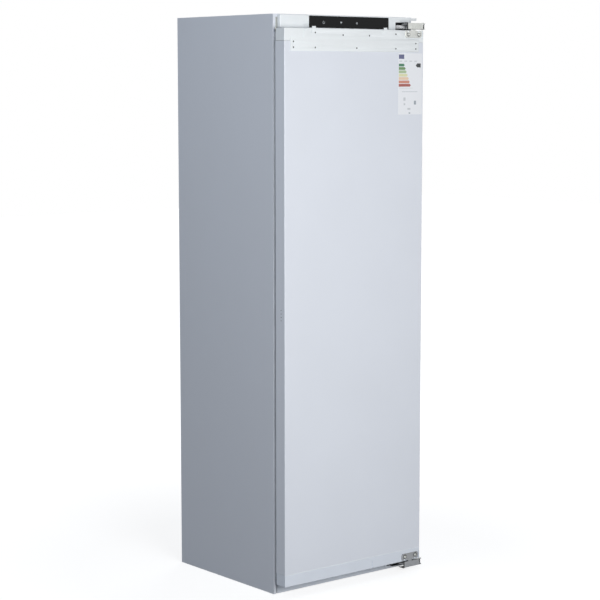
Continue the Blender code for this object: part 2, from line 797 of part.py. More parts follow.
def hinge_housing(shop, name, middle, away):
    """Cabinet half: a box open to the front, with the two fixed pins standing in it."""
    low = middle - HOUSING_HALF
    high = middle + HOUSING_HALF
    wall = HOUSING_WALL
    part = shop.add(name, block((HOUSING_LEFT, behind(HOUSING_FRONT), low),
                                (HOUSING_RIGHT, behind(HOUSING_BACK), high)), "black_plastic")
    shop.fuse(part, block((HOUSING_NECK_LEFT, ahead(HOUSING_NOSE), low),
                          (HOUSING_RIGHT, behind(0.010), high)))
    shop.cut(part, block((HOUSING_LEFT + wall, behind(HOUSING_FRONT + 0.0011), low + wall),
                         (HOUSING_RIGHT - wall, behind(HOUSING_BACK - wall), high - wall)))
    shop.cut(part, block((HOUSING_NECK_LEFT + wall, ahead(0.02), low + wall),
                         (HOUSING_RIGHT - wall, behind(0.02), high - wall)))
    # the links swing out through the nose's right side
    shop.cut(part, block((HOUSING_SIDE_OPENING, ahead(0.02), low + wall),
                         (0.30, ahead(2 * GAP), high - wall)))
    arm_low, arm_high = layer(middle, away, ARM_PIN_LAYER)
    arm_pin = (*pivot(ARM_ON_CABINET), (arm_low + arm_high) / 2)
    shop.fuse(part, drum(arm_pin, (0, 0, 1), PIN_RADIUS, arm_high - arm_low, 16))
    stay_pin = (*pivot(STAY_ON_CABINET), middle)
    shop.fuse(part, drum(stay_pin, (0, 0, 1), STAY_PIN_RADIUS, high - low - 0.0010, 16))
    return part


def door_arm(shop, name, middle, away):
    """Door half: a channel across the door's end, with a knuckle at its right and a T foot for two screws."""
    front = ahead(CHANNEL_FRONT)
    rear = ahead(CHANNEL_REAR)
    knuckle = pivot(ARM_ON_DOOR)
    stay = pivot(STAY_ON_DOOR)
    line = [(CHANNEL_LEFT, rear), (CHANNEL_LEFT, front), (knuckle[0], front)]
    line += arc(knuckle, knuckle[1] - front, -80, 0, 4)
    line += arc(stay, 0.0060, 0, 180, 6)
    line += [(DOOR_HALF_WIDTH, rear)]
    mesh = outline([line], middle - CHANNEL_HALF, middle + CHANNEL_HALF)
    part = shop.add(name, mesh, "zinc_steel", (knuckle[0], knuckle[1], middle))
    # the channel is open to the rear, and its knuckle to the right
    floor = front + CHANNEL_SHEET
    knuckle_left = DOOR_HALF_WIDTH + 0.0005
    room = [(0.20, rear + 0.03), (0.20, floor), (knuckle_left, floor), (knuckle_left, front - 0.01),
            (0.31, front - 0.01), (0.31, rear + 0.03)]
    inner = CHANNEL_HALF - CHANNEL_SHEET
    shop.cut(part, outline([room], middle - inner, middle + inner))
    shop.fuse(part, drum((*knuckle, middle), (0, 0, 1), PIN_RADIUS, 2 * CHANNEL_HALF - 0.001, 16))
    pin_low, pin_high = layer(middle, away, STAY_PIN_LAYER)
    stay_pin = (*stay, (pin_low + pin_high) / 2)
    shop.fuse(part, drum(stay_pin, (0, 0, 1), STAY_PIN_RADIUS, pin_high - pin_low, 16))
    shop.fuse(part, outline([tee_foot(middle, away)], front + 0.0002, front + 0.0018, "XZ"))
    return part


def tee_foot(middle, away):
    """Front view of the T foot: a stem to a round-cornered plate with two open screw slots."""
    left, right = FOOT_SIDES
    stem_left, stem_right = FOOT_STEM
    (slot_1, slot_2), (slot_3, slot_4) = FOOT_SLOTS
    flare = 0.0025
    points = [(stem_left - 0.006, FOOT_START), (stem_left, FOOT_START + 0.0022),
              (stem_left, FOOT_SHOULDER - 0.0020), (stem_left - flare, FOOT_SHOULDER - 0.0004),
              (slot_2, FOOT_SHOULDER), (slot_2, FOOT_SLOT_END), (slot_1, FOOT_SLOT_END),
              (slot_1, FOOT_SHOULDER)]
    points += arc((left + SHOULDER_ROUND, FOOT_SHOULDER + SHOULDER_ROUND), SHOULDER_ROUND, 270, 180, 3)
    points += arc((left + FOOT_ROUND, FOOT_END - FOOT_ROUND), FOOT_ROUND, 180, 90, 4)
    points += arc((right - FOOT_ROUND, FOOT_END - FOOT_ROUND), FOOT_ROUND, 90, 0, 4)
    points += arc((right - SHOULDER_ROUND, FOOT_SHOULDER + SHOULDER_ROUND), SHOULDER_ROUND, 0, -90, 3)
    points += [(slot_4, FOOT_SHOULDER), (slot_4, FOOT_SLOT_END), (slot_3, FOOT_SLOT_END),
               (slot_3, FOOT_SHOULDER), (stem_right + flare, FOOT_SHOULDER - 0.0004),
               (stem_right, FOOT_SHOULDER - 0.0020), (stem_right, FOOT_START + 0.0022),
               (stem_right + 0.006, FOOT_START)]
    points = [(x, middle - away * distance) for x, distance in points]
    return points if away > 0 else points[::-1]


# Door

def door_skin(shop):
    """Front and sides folded from one sheet, with short returns at the back."""
    half = DOOR_HALF_WIDTH
    line = [(-half + DOOR_RETURN, ahead(DOOR_BACK)), (-half, ahead(DOOR_BACK)), (-half, ahead(DOOR_FRONT)),
            (half, ahead(DOOR_FRONT)), (half, ahead(DOOR_BACK)), (half - DOOR_RETURN, ahead(DOOR_BACK))]
    form = sheet(line, SKIN_BOTTOM + GAP, SKIN_TOP - GAP, "XY")
    form.normal_update()
    front = [face for face in form.faces if abs(face.normal.y) > 0.9 and face.calc_area() > 0.5]
    if front[0].normal.y > 0:
        bmesh.ops.reverse_faces(form, faces=form.faces)
    part = shop.add("door_skin", to_mesh("door_skin", form), "pale_enamel")
    round_edges(part, 0.002, 2)
    thicken(part, SKIN)
    marks = [(-half, ahead(0.0385), z) for z in SIDE_MARKS]
    shop.cut(part, drums(marks, (1, 0, 0), 0.0017, 0.006, 8))
    return part


def door_foam(shop):
    """Insulation that fills the door and the dyke of its liner."""
    half = DOOR_HALF_WIDTH - SKIN - GAP
    part = shop.add("door_foam", block((-half, ahead(DOOR_FRONT - SKIN - GAP), SKIN_BOTTOM + GAP),
                                       (half, ahead(DOOR_BACK + CAP_LAP), SKIN_TOP - GAP)), "foam")
    round_edges(part, 0.002, 2)
    margin = DOOR_LINER_HALF - DYKE_HALF_WIDTH
    play = LINER_WALL + 2 * GAP
    crest = ahead(DOOR_BACK) + DYKE_HEIGHT - LINER_ROUND + 0.003
    shop.fuse(part, tapered_block(
        (-DYKE_HALF_WIDTH + play, ahead(DOOR_BACK + 0.006), DOOR_LINER_BOTTOM + margin + play),
        (DYKE_HALF_WIDTH - play, crest, DOOR_LINER_TOP - margin - play), DYKE_OUTER_TAPER, DYKE_CORNER))
    inside = DYKE_HALF_WIDTH - DYKE_OUTER_TAPER - DYKE_CREST - DYKE_INNER_TAPER + play
    edge = DYKE_HALF_WIDTH - inside
    shop.cut(part, tapered_block(
        (-inside, ahead(DOOR_BACK + 0.0016), DOOR_LINER_BOTTOM + margin + edge),
        (inside, crest + 0.002, DOOR_LINER_TOP - margin - edge), -DYKE_INNER_TAPER))
    return part


def hinge_pocket(low, high):
    """The recess in a door cap for a hinge's T foot, open past the cap's edge."""
    return block((0.2005, ahead(0.07), low), (0.2780, ahead(0.0530), high))


def top_cap(shop):
    """Moulded cap that closes the door's top, with the upper hinge's recess."""
    half = DOOR_HALF_WIDTH
    part = shop.add("door_top_cap", block((-half, ahead(DOOR_FRONT), SKIN_TOP),
                                          (half, ahead(DOOR_BACK + CAP_LAP), DOOR_TOP)), "white_moulding")
    round_edges(part, 0.0015, 2)
    shop.cut(part, hinge_pocket(CAP_POCKET_TOP, DOOR_TOP + 0.01))
    trough = block((-half + 0.012, ahead(DOOR_FRONT - 0.008), DOOR_TOP - 0.004),
                   (0.190, ahead(DOOR_BACK + 0.008), DOOR_TOP + 0.01))
    shop.cut(part, trough)
    return part


def bottom_cap(shop):
    """Moulded cap that closes the door's foot: a shallow recess, two blocks and the lower hinge's recess."""
    half = DOOR_HALF_WIDTH
    part = shop.add("door_bottom_cap", block((-half, ahead(DOOR_FRONT), DOOR_BOTTOM),
                                             (half, ahead(DOOR_BACK + CAP_LAP), SKIN_BOTTOM)),
                    "white_moulding")
    round_edges(part, 0.0015, 2)
    shop.cut(part, hinge_pocket(DOOR_BOTTOM - 0.01, CAP_POCKET_BOTTOM))
    shop.cut(part, block((-0.199, ahead(0.07), DOOR_BOTTOM - 0.01),
                         (0.0770, ahead(DOOR_FRONT - 0.002), 0.0590)))
    return part


def door_liner(shop):
    """Thermoformed inner door with the raised dyke that carries the bins."""
    form = bmesh.new()
    half = DOOR_LINER_HALF
    low = DOOR_LINER_BOTTOM
    high = DOOR_LINER_TOP
    corners = [(-half, low), (half, low), (half, high), (-half, high)]
    verts = [form.verts.new((x, ahead(DOOR_BACK), z)) for x, z in corners]
    face = form.faces.new(verts)
    form.normal_update()
    if face.normal.y < 0:
        bmesh.ops.reverse_faces(form, faces=[face])
    steps = [(half - DYKE_HALF_WIDTH, 0.0), (DYKE_OUTER_TAPER, DYKE_HEIGHT), (DYKE_CREST, 0.0),
             (DYKE_INNER_TAPER, -DYKE_HEIGHT)]
    for thickness, depth in steps:
        bmesh.ops.inset_region(form, faces=[face], thickness=thickness, depth=0.0, use_boundary=True,
                               use_even_offset=True)
        for vert in face.verts:
            vert.co.y += depth
        form.normal_update()
    part = shop.add("door_liner", to_mesh("door_liner", form), "liner_white")
    round_edges(part, 0.004, 1, 50)
    thicken(part, LINER_WALL)
    lugs = []
    for _, rim, _, _ in BINS:
        for side in (-1, 1):
            inner = side * LUG_INNER
            outer = side * LUG_OUTER
            lugs.append(((min(inner, outer), behind(-0.002), rim - 0.024),
                         (max(inner, outer), behind(0.022), rim - 0.0035)))
    shop.fuse(part, blocks(lugs))
    return part


def door_bin(shop, name, rim, well, reach):
    """Open tub with rounded corners and a rim that rests on the door liner's lugs."""
    half = BIN_HALF_WIDTH
    rear = ahead(DOOR_BACK) + 0.0006
    form = block_form((-half, rear, rim - well), (half, rear + reach, rim))
    bmesh.ops.delete(form, geom=faces_towards(form, (0, 0, 1)), context="FACES")
    mouth = [edge for edge in form.edges
             if edge.is_boundary and abs(edge.verts[0].co.x - edge.verts[1].co.x) < 1e-6]
    grown = bmesh.ops.extrude_edge_only(form, edges=mouth)["geom"]
    for vert in [item for item in grown if isinstance(item, bmesh.types.BMVert)]:
        vert.co.x = math.copysign(half + BIN_RIM, vert.co.x)
    bmesh.ops.recalc_face_normals(form, faces=form.faces)
    part = shop.add(name, to_mesh(name, form), "clear_plastic")
    round_edges(part, BIN_CORNER, 2, 50)
    thicken(part, BIN_WALL, 1.0)
    return part


def ring_corners(inset):
    """Front view of the seal's outer edge, drawn in by the inset."""
    half = SEAL_HALF_WIDTH - inset
    low = SEAL_BOTTOM + inset
    high = SEAL_TOP - inset
    return [(-half, low), (half, low), (half, high), (-half, high)]


def gasket(shop):
    """Magnetic seal: a ring with a bellows groove round its outer side."""
    ring = outline([ring_corners(0), ring_corners(SEAL_WIDTH)], ahead(DOOR_BACK - GAP), ahead(GAP), "XZ")
    part = shop.add("door_gasket", ring, "rubber")
    round_edges(part, 0.002, 1)
    groove = outline([ring_corners(-0.01), ring_corners(SEAL_GROOVE)], ahead(0.0075), ahead(0.0045), "XZ")
    shop.cut(part, groove)
    return part


def mounting_plate(shop):
    """White plate for the furniture panel: a wide lower bar, a chamfered upper part and two tongues."""
    chamfer = PLATE_CHAMFER
    line = [(-PLATE_HALF_WIDTH, PLATE_BOTTOM), (PLATE_HALF_WIDTH, PLATE_BOTTOM),
            (PLATE_HALF_WIDTH, PLATE_SHOULDER), (PLATE_UPPER_RIGHT, PLATE_SHOULDER),
            (PLATE_UPPER_RIGHT, PLATE_TOP - chamfer),
            (PLATE_UPPER_RIGHT - chamfer, PLATE_TOP), (PLATE_UPPER_LEFT + chamfer, PLATE_TOP),
            (PLATE_UPPER_LEFT, PLATE_TOP - chamfer), (PLATE_UPPER_LEFT, PLATE_SHOULDER),
            (-PLATE_HALF_WIDTH, PLATE_SHOULDER)]
    loops = [line] + [circle(hole, PLATE_HOLE_RADIUS, 12) for hole in PLATE_HOLES]
    for x in PLATE_SLOTS:
        loops.append([(x - 0.0035, 1.7150), (x + 0.0035, 1.7150), (x + 0.0035, 1.7270), (x - 0.0035, 1.7270)])
    front = ahead(DOOR_FRONT + GAP + PLATE_THICKNESS)
    part = shop.add("mounting_plate", outline(loops, front, front + PLATE_THICKNESS, "XZ"), "white_moulding")
    tongues = [((x + 0.006, front, PLATE_TOP - 0.004), (x + 0.020, front + PLATE_THICKNESS, TONGUE_TOP))
               for x in PLATE_SLOTS]
    shop.fuse(part, blocks(tongues))
    return part


# Inside the cabinet

def shelf(shop, name, level, rear=SHELF_REAR):
    low = level + GAP
    part = shop.add(name, block((-SHELF_HALF_WIDTH, behind(SHELF_FRONT), low),
                                (SHELF_HALF_WIDTH, behind(rear), low + SHELF_THICKNESS)), "clear_glass")
    round_edges(part, 0.0006, 1)
    return part


def shelf_trim(shop, name, level):
    """Moulded front edge that clips over the glass."""
    front = SHELF_FRONT
    low = level + GAP
    high = low + SHELF_THICKNESS
    line = [(behind(front - 0.005), low - 0.0030), (behind(front + 0.014), low - 0.0030),
            (behind(front + 0.014), low - GAP), (behind(front - GAP), low - GAP),
            (behind(front - GAP), high + GAP), (behind(front + 0.016), high + GAP),
            (behind(front + 0.016), high + 0.0020), (behind(front + 0.004), high + 0.0070),
            (behind(front - 0.003), high + 0.0070), (behind(front - 0.005), high + 0.0050)]
    return shop.add(name, outline([line], -TRIM_HALF_WIDTH, TRIM_HALF_WIDTH, "YZ"), "white_moulding")


def drawer_side_line(place):
    """Side view of a drawer, front rim to rear rim; the lower one steps over the compressor."""
    front = behind(DRAWER_FRONT)
    rear = behind(DRAWER_REAR)
    rim = DRAWER_RIMS[place]
    floor = DRAWER_FLOORS[place]
    line = [(front, rim), (front, floor)]
    if place == "lower":
        step = behind(DRAWER_STEP)
        line += [(step, floor), (step, DRAWER_STEP_TOP)]
        floor = DRAWER_STEP_TOP
    line += [(rear, floor), (rear, rim)]
    return line


def drawer(shop, place):
    """Drawer tub bent to the liner's step, open at the top, with rims that slide on the liner's rails."""
    name = f"crisper_drawer_{place}"
    half = DRAWER_HALF_WIDTH
    form = sheet(drawer_side_line(place), -half, half, "YZ")
    for side in (-half, half):
        ring = [vert for vert in form.verts if abs(vert.co.x - side) < 1e-6]
        edges = [edge for edge in form.edges if edge.verts[0] in ring and edge.verts[1] in ring]
        edges.append(form.edges.new((ring[0], ring[-1])))
        bmesh.ops.contextual_create(form, geom=edges)
    sides = [edge for edge in form.edges if edge.is_boundary
             and abs(edge.verts[0].co.x - edge.verts[1].co.x) < 1e-6]
    grown = bmesh.ops.extrude_edge_only(form, edges=sides)["geom"]
    for vert in [item for item in grown if isinstance(item, bmesh.types.BMVert)]:
        vert.co.x = math.copysign(DRAWER_RIM_HALF, vert.co.x)
    bmesh.ops.recalc_face_normals(form, faces=form.faces)
    part = shop.add(name, to_mesh(name, form), "clear_plastic")
    thicken(part, DRAWER_WALL, 1.0)
    return part


def drawer_handle(shop, place):
    """White front rail with a finger grip, clipped over the drawer's front edge."""
    front = DRAWER_FRONT - DRAWER_WALL - GAP
    level = DRAWER_RIMS[place]
    line = [(behind(front), level + 0.003), (behind(front - 0.014), level + 0.003),
            (behind(front - 0.016), level - 0.004), (behind(front - 0.016), level - 0.010),
            (behind(front - 0.013), level - 0.010), (behind(front - 0.012), level - 0.003),
            (behind(front - 0.0025), level - 0.003), (behind(front - 0.0025), level - 0.030),
            (behind(front), level - 0.030)]
    return shop.add(f"drawer_handle_{place}", outline([line], -0.205, 0.205, "YZ"), "white_moulding")


def duct_cover(shop):
    """Air duct on the rear wall: outlet slots and a radial grille in front of the fan."""
    form = block_form((-DUCT_HALF_WIDTH, behind(DUCT_FRONT), DUCT_BOTTOM),
                      (DUCT_HALF_WIDTH, behind(LINER_DEPTH - GAP), DUCT_TOP))
    bmesh.ops.delete(form, geom=faces_towards(form, (0, 1, 0)), context="FACES")
    part = shop.add("duct_cover", to_mesh("duct_cover", form), "liner_white")
    round_edges(part, 0.0025, 1)
    thicken(part, DUCT_WALL)
    near = behind(DUCT_FRONT - 0.01)
    far = behind(DUCT_FRONT + 0.01)
    slots = []
    for row in range(OUTLET_ROWS):
        low = OUTLET_BOTTOM + row * OUTLET_PITCH
        slots.append(((-OUTLET_HALF_WIDTH, near, low), (OUTLET_HALF_WIDTH, far, low + OUTLET_HEIGHT)))
    shop.cut(part, blocks(slots))
    grille = bmesh.new()
    for index in range(GRILLE_SLOTS):
        piece = block_form((FAN_HUB_RADIUS + 0.001, near, -0.0032), (FAN_RADIUS, far, 0.0032))
        turn = Matrix.Rotation(2 * math.pi * index / GRILLE_SLOTS, 4, "Y")
        bmesh.ops.transform(piece, matrix=Matrix.Translation((0, 0, FAN_HEIGHT)) @ turn, verts=piece.verts)
        mesh = to_mesh("grille_slot", piece)
        grille.from_mesh(mesh)
        bpy.data.meshes.remove(mesh)
    shop.cut(part, to_mesh("grille", grille))
    return part


def fan_rotor(shop):
    """Axial fan: pitched blades fused to a hub, on the motor's axis."""
    centre = (0, behind(FAN_DEPTH), FAN_HEIGHT)
    part = shop.add("fan_rotor", drum(centre, (0, 1, 0), FAN_HUB_RADIUS, 0.012, 20), "black_plastic", centre)
    blades = bmesh.new()
    for index in range(BLADES):
        piece = block_form((FAN_HUB_RADIUS - 0.002, -0.0009, -0.0075), (FAN_RADIUS, 0.0009, 0.0075))
        pitch = Matrix.Rotation(math.radians(FAN_PITCH), 4, "X")
        spin = Matrix.Translation(centre) @ Matrix.Rotation(2 * math.pi * index / BLADES, 4, "Y")
        bmesh.ops.transform(piece, matrix=spin @ pitch, verts=piece.verts)
        mesh = to_mesh("blade", piece)
        blades.from_mesh(mesh)
        bpy.data.meshes.remove(mesh)
    shop.fuse(part, to_mesh("blades", blades))
    return smooth(part)


def fan_motor(shop):
    mesh = drum((0, behind(FAN_DEPTH + 0.0109), FAN_HEIGHT), (0, 1, 0), 0.015, 0.0085, 20)
    return smooth(shop.add("fan_motor", mesh, "black_plastic"))


def lamp_cover(shop):
    """Frosted lens of the ceiling lamp."""
    form = block_form((-LAMP_HALF_WIDTH, behind(LAMP_FRONT), LINER_TOP - LAMP_DROP),
                      (LAMP_HALF_WIDTH, behind(LAMP_REAR), LINER_TOP - GAP))
    bmesh.ops.delete(form, geom=faces_towards(form, (0, 0, 1)), context="FACES")
    part = shop.add("lamp_cover", to_mesh("lamp_cover", form), "clear_plastic")
    round_edges(part, 0.004, 2)
    thicken(part, 0.0016)
    return part


def lamp_board(shop):
    """Strip board with its light-emitting diodes, on the ceiling behind the lens."""
    high = LINER_TOP - GAP
    low = high - BOARD_THICKNESS
    half = LAMP_HALF_WIDTH - 0.010
    part = shop.add("lamp_board", block((-half, behind(LAMP_FRONT + 0.008), low),
                                        (half, behind(LAMP_REAR - 0.008), high)), "circuit_board")
    middle = behind((LAMP_FRONT + LAMP_REAR) / 2)
    pitch = 2 * half / DIODES
    diodes = []
    for index in range(DIODES):
        x = (index - (DIODES - 1) / 2) * pitch
        diodes.append(((x - 0.003, middle - 0.003, low - 0.0012), (x + 0.003, middle + 0.003, low + 0.0004)))
    shop.fuse(part, blocks(diodes))
    return part


# Compressor niche and back

def compressor(shop):
    """Welded shell in two halves on a foot plate with four rubber feet."""
    x, y = COMPRESSOR_CENTRE
    form = bmesh.new()
    ring = [form.verts.new((radius, 0, height)) for radius, height in COMPRESSOR_PROFILE]
    for first, second in zip(ring, ring[1:]):
        form.edges.new((first, second))
    part = shop.add("compressor", to_mesh("compressor", form), "black_enamel")
    part.location = (x, y, 0)
    part.scale = (1.22, 0.92, 1.0)
    screw = part.modifiers.new("turn", "SCREW")
    screw.steps = 24
    screw.render_steps = 24
    screw.use_merge_vertices = True
    screw.merge_threshold = 0.00005
    plate_x, plate_y = FOOT_PLATE
    shop.fuse(part, block((x - 0.050, y - 0.040, 0.0315), (x + 0.050, y + 0.040, 0.0480)))
    shop.fuse(part, block((x - plate_x, y - plate_y, 0.0300), (x + plate_x, y + plate_y, 0.0330)))
    foot_x, foot_y = COMPRESSOR_FEET
    feet = [(x + dx, y + dy, 0.0229) for dx in (-foot_x, foot_x) for dy in (-foot_y, foot_y)]
    shop.fuse(part, drums(feet, (0, 0, 1), 0.0100, 0.0152))
    return part


def compressor_rail(shop):
    """Hat-section crossmember that carries the compressor."""
    y = COMPRESSOR_CENTRE[1]
    line = [(y - 0.070, 0.0027), (y - 0.062, 0.0027), (y - 0.058, 0.0140), (y + 0.058, 0.0140),
            (y + 0.062, 0.0027), (y + 0.070, 0.0027)]
    form = sheet(line, -0.270, 0.270, "YZ")
    part = shop.add("compressor_rail", to_mesh("compressor_rail", form), "zinc_steel")
    thicken(part, 0.0016, 0.0)
    return part


def start_relay(shop):
    x, y = COMPRESSOR_CENTRE
    part = shop.add("start_relay", block((x - 0.128, y - 0.026, 0.070), (x - 0.0955, y + 0.026, 0.128)),
                    "black_plastic")
    round_edges(part, 0.003, 2)
    return part


def evaporating_tray(shop):
    """Tray over the compressor that its heat dries."""
    x, y = COMPRESSOR_CENTRE
    half_x, half_y = TRAY_HALF
    form = block_form((x - half_x, y - half_y, TRAY_BOTTOM), (x + half_x, y + half_y, TRAY_TOP))
    bmesh.ops.delete(form, geom=faces_towards(form, (0, 0, 1)), context="FACES")
    part = shop.add("evaporating_tray", to_mesh("evaporating_tray", form), "black_plastic")
    round_edges(part, 0.006, 2)
    thicken(part, 0.002)
    return part


def condenser(shop):
    """Serpentine tube across the back with upright wires on it."""
    plane = BACK - COIL_DEPTH
    radius = COIL_PITCH / 2
    top = COIL_BOTTOM + COIL_PITCH * (COIL_PASSES - 1)
    path = [(-COIL_HALF_WIDTH, plane, COIL_BOTTOM)]
    for index in range(COIL_PASSES - 1):
        side = 1 if index % 2 == 0 else -1
        middle = COIL_BOTTOM + COIL_PITCH * index + radius
        for x, z in arc((COIL_HALF_WIDTH - radius, middle), radius, -90, 90, 5):
            path.append((side * x, plane, z))
    path.append((-COIL_HALF_WIDTH, plane, top))
    part = shop.add("condenser", tube(path, COIL_TUBE, 1), "black_enamel")
    wires = []
    for index in range(COIL_WIRES):
        x = (index - (COIL_WIRES - 1) / 2) * COIL_WIRE_PITCH
        wires.append(((x - 0.0009, plane + 0.0016, COIL_BOTTOM - 0.015),
                      (x + 0.0009, plane + 0.0034, top + 0.015)))
    shop.fuse(part, blocks(wires))
    return smooth(part)


# Assembly

def build():
    clear_scene()
    shop = Workshop()
    outer_shell(shop)
    back_panel(shop)
    niche_panel(shop)
    base_pan(shop)
    plinth_rail(shop)
    top_rail(shop)
    inner_liner(shop)
    cabinet_foam(shop)
    fascia(shop)
    control_glass(shop)
    control_board(shop)
    niche_tab(shop)
    for place, middle, away in (("top", HINGE_TOP_Z, 1), ("bottom", HINGE_BOTTOM_Z, -1)):
        hinge_housing(shop, f"hinge_housing_{place}", middle, away)
        hinge_arm(shop, f"hinge_arm_{place}", middle, away)
        hinge_stay(shop, f"hinge_stay_{place}", middle, away)
        door_arm(shop, f"door_arm_{place}", middle, away)
    door_skin(shop)
    door_foam(shop)
    top_cap(shop)
    bottom_cap(shop)
    door_liner(shop)
    gasket(shop)
    mounting_plate(shop)
    for name, rim, well, reach in BINS:
        door_bin(shop, name, rim, well, reach)
    for index, level in enumerate(SHELF_LEVELS, 1):
        shelf(shop, f"shelf_{index}", level)
        shelf_trim(shop, f"shelf_trim_{index}", level)
    shelf(shop, "drawer_cover", COVER_LEVEL, COVER_REAR)
    shelf_trim(shop, "drawer_cover_trim", COVER_LEVEL)
    for place in ("lower", "upper"):
        drawer(shop, place)
        drawer_handle(shop, place)
    duct_cover(shop)
    fan_rotor(shop)
    fan_motor(shop)
    lamp_cover(shop)
    lamp_board(shop)
    compressor(shop)
    compressor_rail(shop)
    start_relay(shop)
    evaporating_tray(shop)
    condenser(shop)
    bpy.context.view_layer.update()


build()
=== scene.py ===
"""Finishes, fine pieces, floor, lamps and camera for a built-in column refrigerator."""

import json
import math

import bmesh
import bpy
from mathutils import Matrix, Vector


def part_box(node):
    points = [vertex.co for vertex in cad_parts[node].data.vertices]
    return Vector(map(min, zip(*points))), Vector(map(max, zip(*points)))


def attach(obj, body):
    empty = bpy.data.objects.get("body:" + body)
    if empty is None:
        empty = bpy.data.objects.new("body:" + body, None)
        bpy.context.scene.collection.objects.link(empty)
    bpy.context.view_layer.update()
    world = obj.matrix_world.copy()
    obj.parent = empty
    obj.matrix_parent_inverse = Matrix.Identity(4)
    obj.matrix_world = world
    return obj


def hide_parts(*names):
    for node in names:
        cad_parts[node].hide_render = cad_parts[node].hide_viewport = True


bl_info = {
    "name": "Column refrigerator",
    "version": (1, 0, 0),
    "blender": (4, 5, 0),
    "location": "3D View > Sidebar > Refrigerator",
    "description": "Finishes and fine pieces for a built-in column refrigerator",
    "category": "Object",
}

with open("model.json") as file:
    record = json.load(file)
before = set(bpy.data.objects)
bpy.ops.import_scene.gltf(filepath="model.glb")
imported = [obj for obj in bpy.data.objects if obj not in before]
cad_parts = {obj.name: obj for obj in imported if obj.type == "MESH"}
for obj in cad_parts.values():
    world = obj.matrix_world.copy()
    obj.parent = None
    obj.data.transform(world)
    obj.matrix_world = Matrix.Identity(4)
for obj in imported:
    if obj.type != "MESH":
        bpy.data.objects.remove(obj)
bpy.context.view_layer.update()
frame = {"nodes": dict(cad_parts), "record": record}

MM = 0.001
CABINET_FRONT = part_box("plinth_rail")[0].y
DOOR_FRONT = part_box("door_skin")[0].y
GLASS_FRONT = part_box("control_glass")[0].y
PLATE_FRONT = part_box("mounting_plate")[0].y
# the middle of each hinge's channel, the pins of its two links in the door, and its foot's front and screws
HINGE_LEVELS = {"top": 1.7435, "bottom": 0.0210}
KNUCKLE = (0.2860, CABINET_FRONT - 0.0470)
STAY_KNUCKLE = (0.2905, CABINET_FRONT - 0.0365)
FOOT_FRONT = CABINET_FRONT - 0.0549
FOOT_SCREWS = (0.2172, 0.2618)
FOOT_SCREW_DROP = 0.0262
# the heights of the four holes in the door's side, and the holes of the mounting plate, across and up
SIDE_MARKS = (0.8560, 0.8660, 0.8765, 0.8870)
PLATE_HOLES = [(-0.246, 1.6895), (-0.246, 1.6725), (0.246, 1.6895), (0.246, 1.6725),
               (-0.162, 1.6725), (0.002, 1.6725), (0.162, 1.6725),
               (-0.162, 1.7170), (0.162, 1.7170), (-0.053, 1.7110), (0.053, 1.7110)]


def linear(code):
    """An sRGB hex colour as linear red, green, blue and alpha."""
    channels = [int(code[place:place + 2], 16) / 255 for place in (0, 2, 4)]
    return (*[c / 12.92 if c <= 0.04045 else ((c + 0.055) / 1.055) ** 2.4 for c in channels], 1.0)


# Sizes and colours that a user would change

def colour_choice(name, description, code):
    return bpy.props.FloatVectorProperty(
        name=name, description=description, subtype="COLOR", size=4, min=0, max=1, default=linear(code))


def length_choice(name, description, low, high, default):
    return bpy.props.FloatProperty(
        name=name, description=description, unit="LENGTH", min=low, max=high, default=default)


class FridgeColours(bpy.types.PropertyGroup):
    cabinet_steel: colour_choice("Cabinet steel", "Coated steel of the sides and top", "D3D8E1")
    door_steel: colour_choice("Door steel", "Coated steel of the door", "DADFE8")
    moulding: colour_choice("Mouldings", "White fascia, caps and mounting plate", "E5EAED")
    liner: colour_choice("Liner", "Thermoformed inside of the cabinet and door", "ECEEEF")
    floor: colour_choice("Floor", "Studio floor", "8E9092")


class FridgeSizes(bpy.types.PropertyGroup):
    screw_head: length_choice("Screw head", "Radius of the hinge screws' heads", 0.002, 0.006, 4.6 * MM)
    label_width: length_choice("Label width", "Width of the energy sheet on the door", 0.05, 0.15, 0.100)
    label_height: length_choice("Label height", "Height of the energy sheet on the door", 0.1, 0.3, 0.190)
    seal_rib: length_choice("Seal rib", "Depth of the grooves along the door seal", 0, 0.002, 1.2 * MM)
    grid_wires: bpy.props.IntProperty(
        name="Grid wires", description="Upright wires on the condenser", min=10, max=120, default=64)
    lens: bpy.props.FloatProperty(
        name="Lens", description="Focal length on a 36 mm sensor, in millimetres",
        min=20, max=300, default=108.48)


# Node helpers

def add_node(tree, kind, inputs=None, output=0, **settings):
    """Adds a node with its settings, and its inputs linked from sockets or given values. Gives one output."""
    node = tree.nodes.new(kind)
    for key, value in settings.items():
        setattr(node, key, value)
    for key, value in (inputs or {}).items():
        if isinstance(value, bpy.types.NodeSocket):
            tree.links.new(value, node.inputs[key])
        else:
            node.inputs[key].default_value = value
    return node.outputs[output]


def worked(tree, operation, first, second):
    """The result of one sum on two sockets or values."""
    return add_node(tree, "ShaderNodeMath", {0: first, 1: second}, operation=operation)


def mixed(tree, factor, low, high):
    """A colour between two colours."""
    return add_node(tree, "ShaderNodeMix", {"Factor": factor, "A": low, "B": high}, "Result", data_type="RGBA")


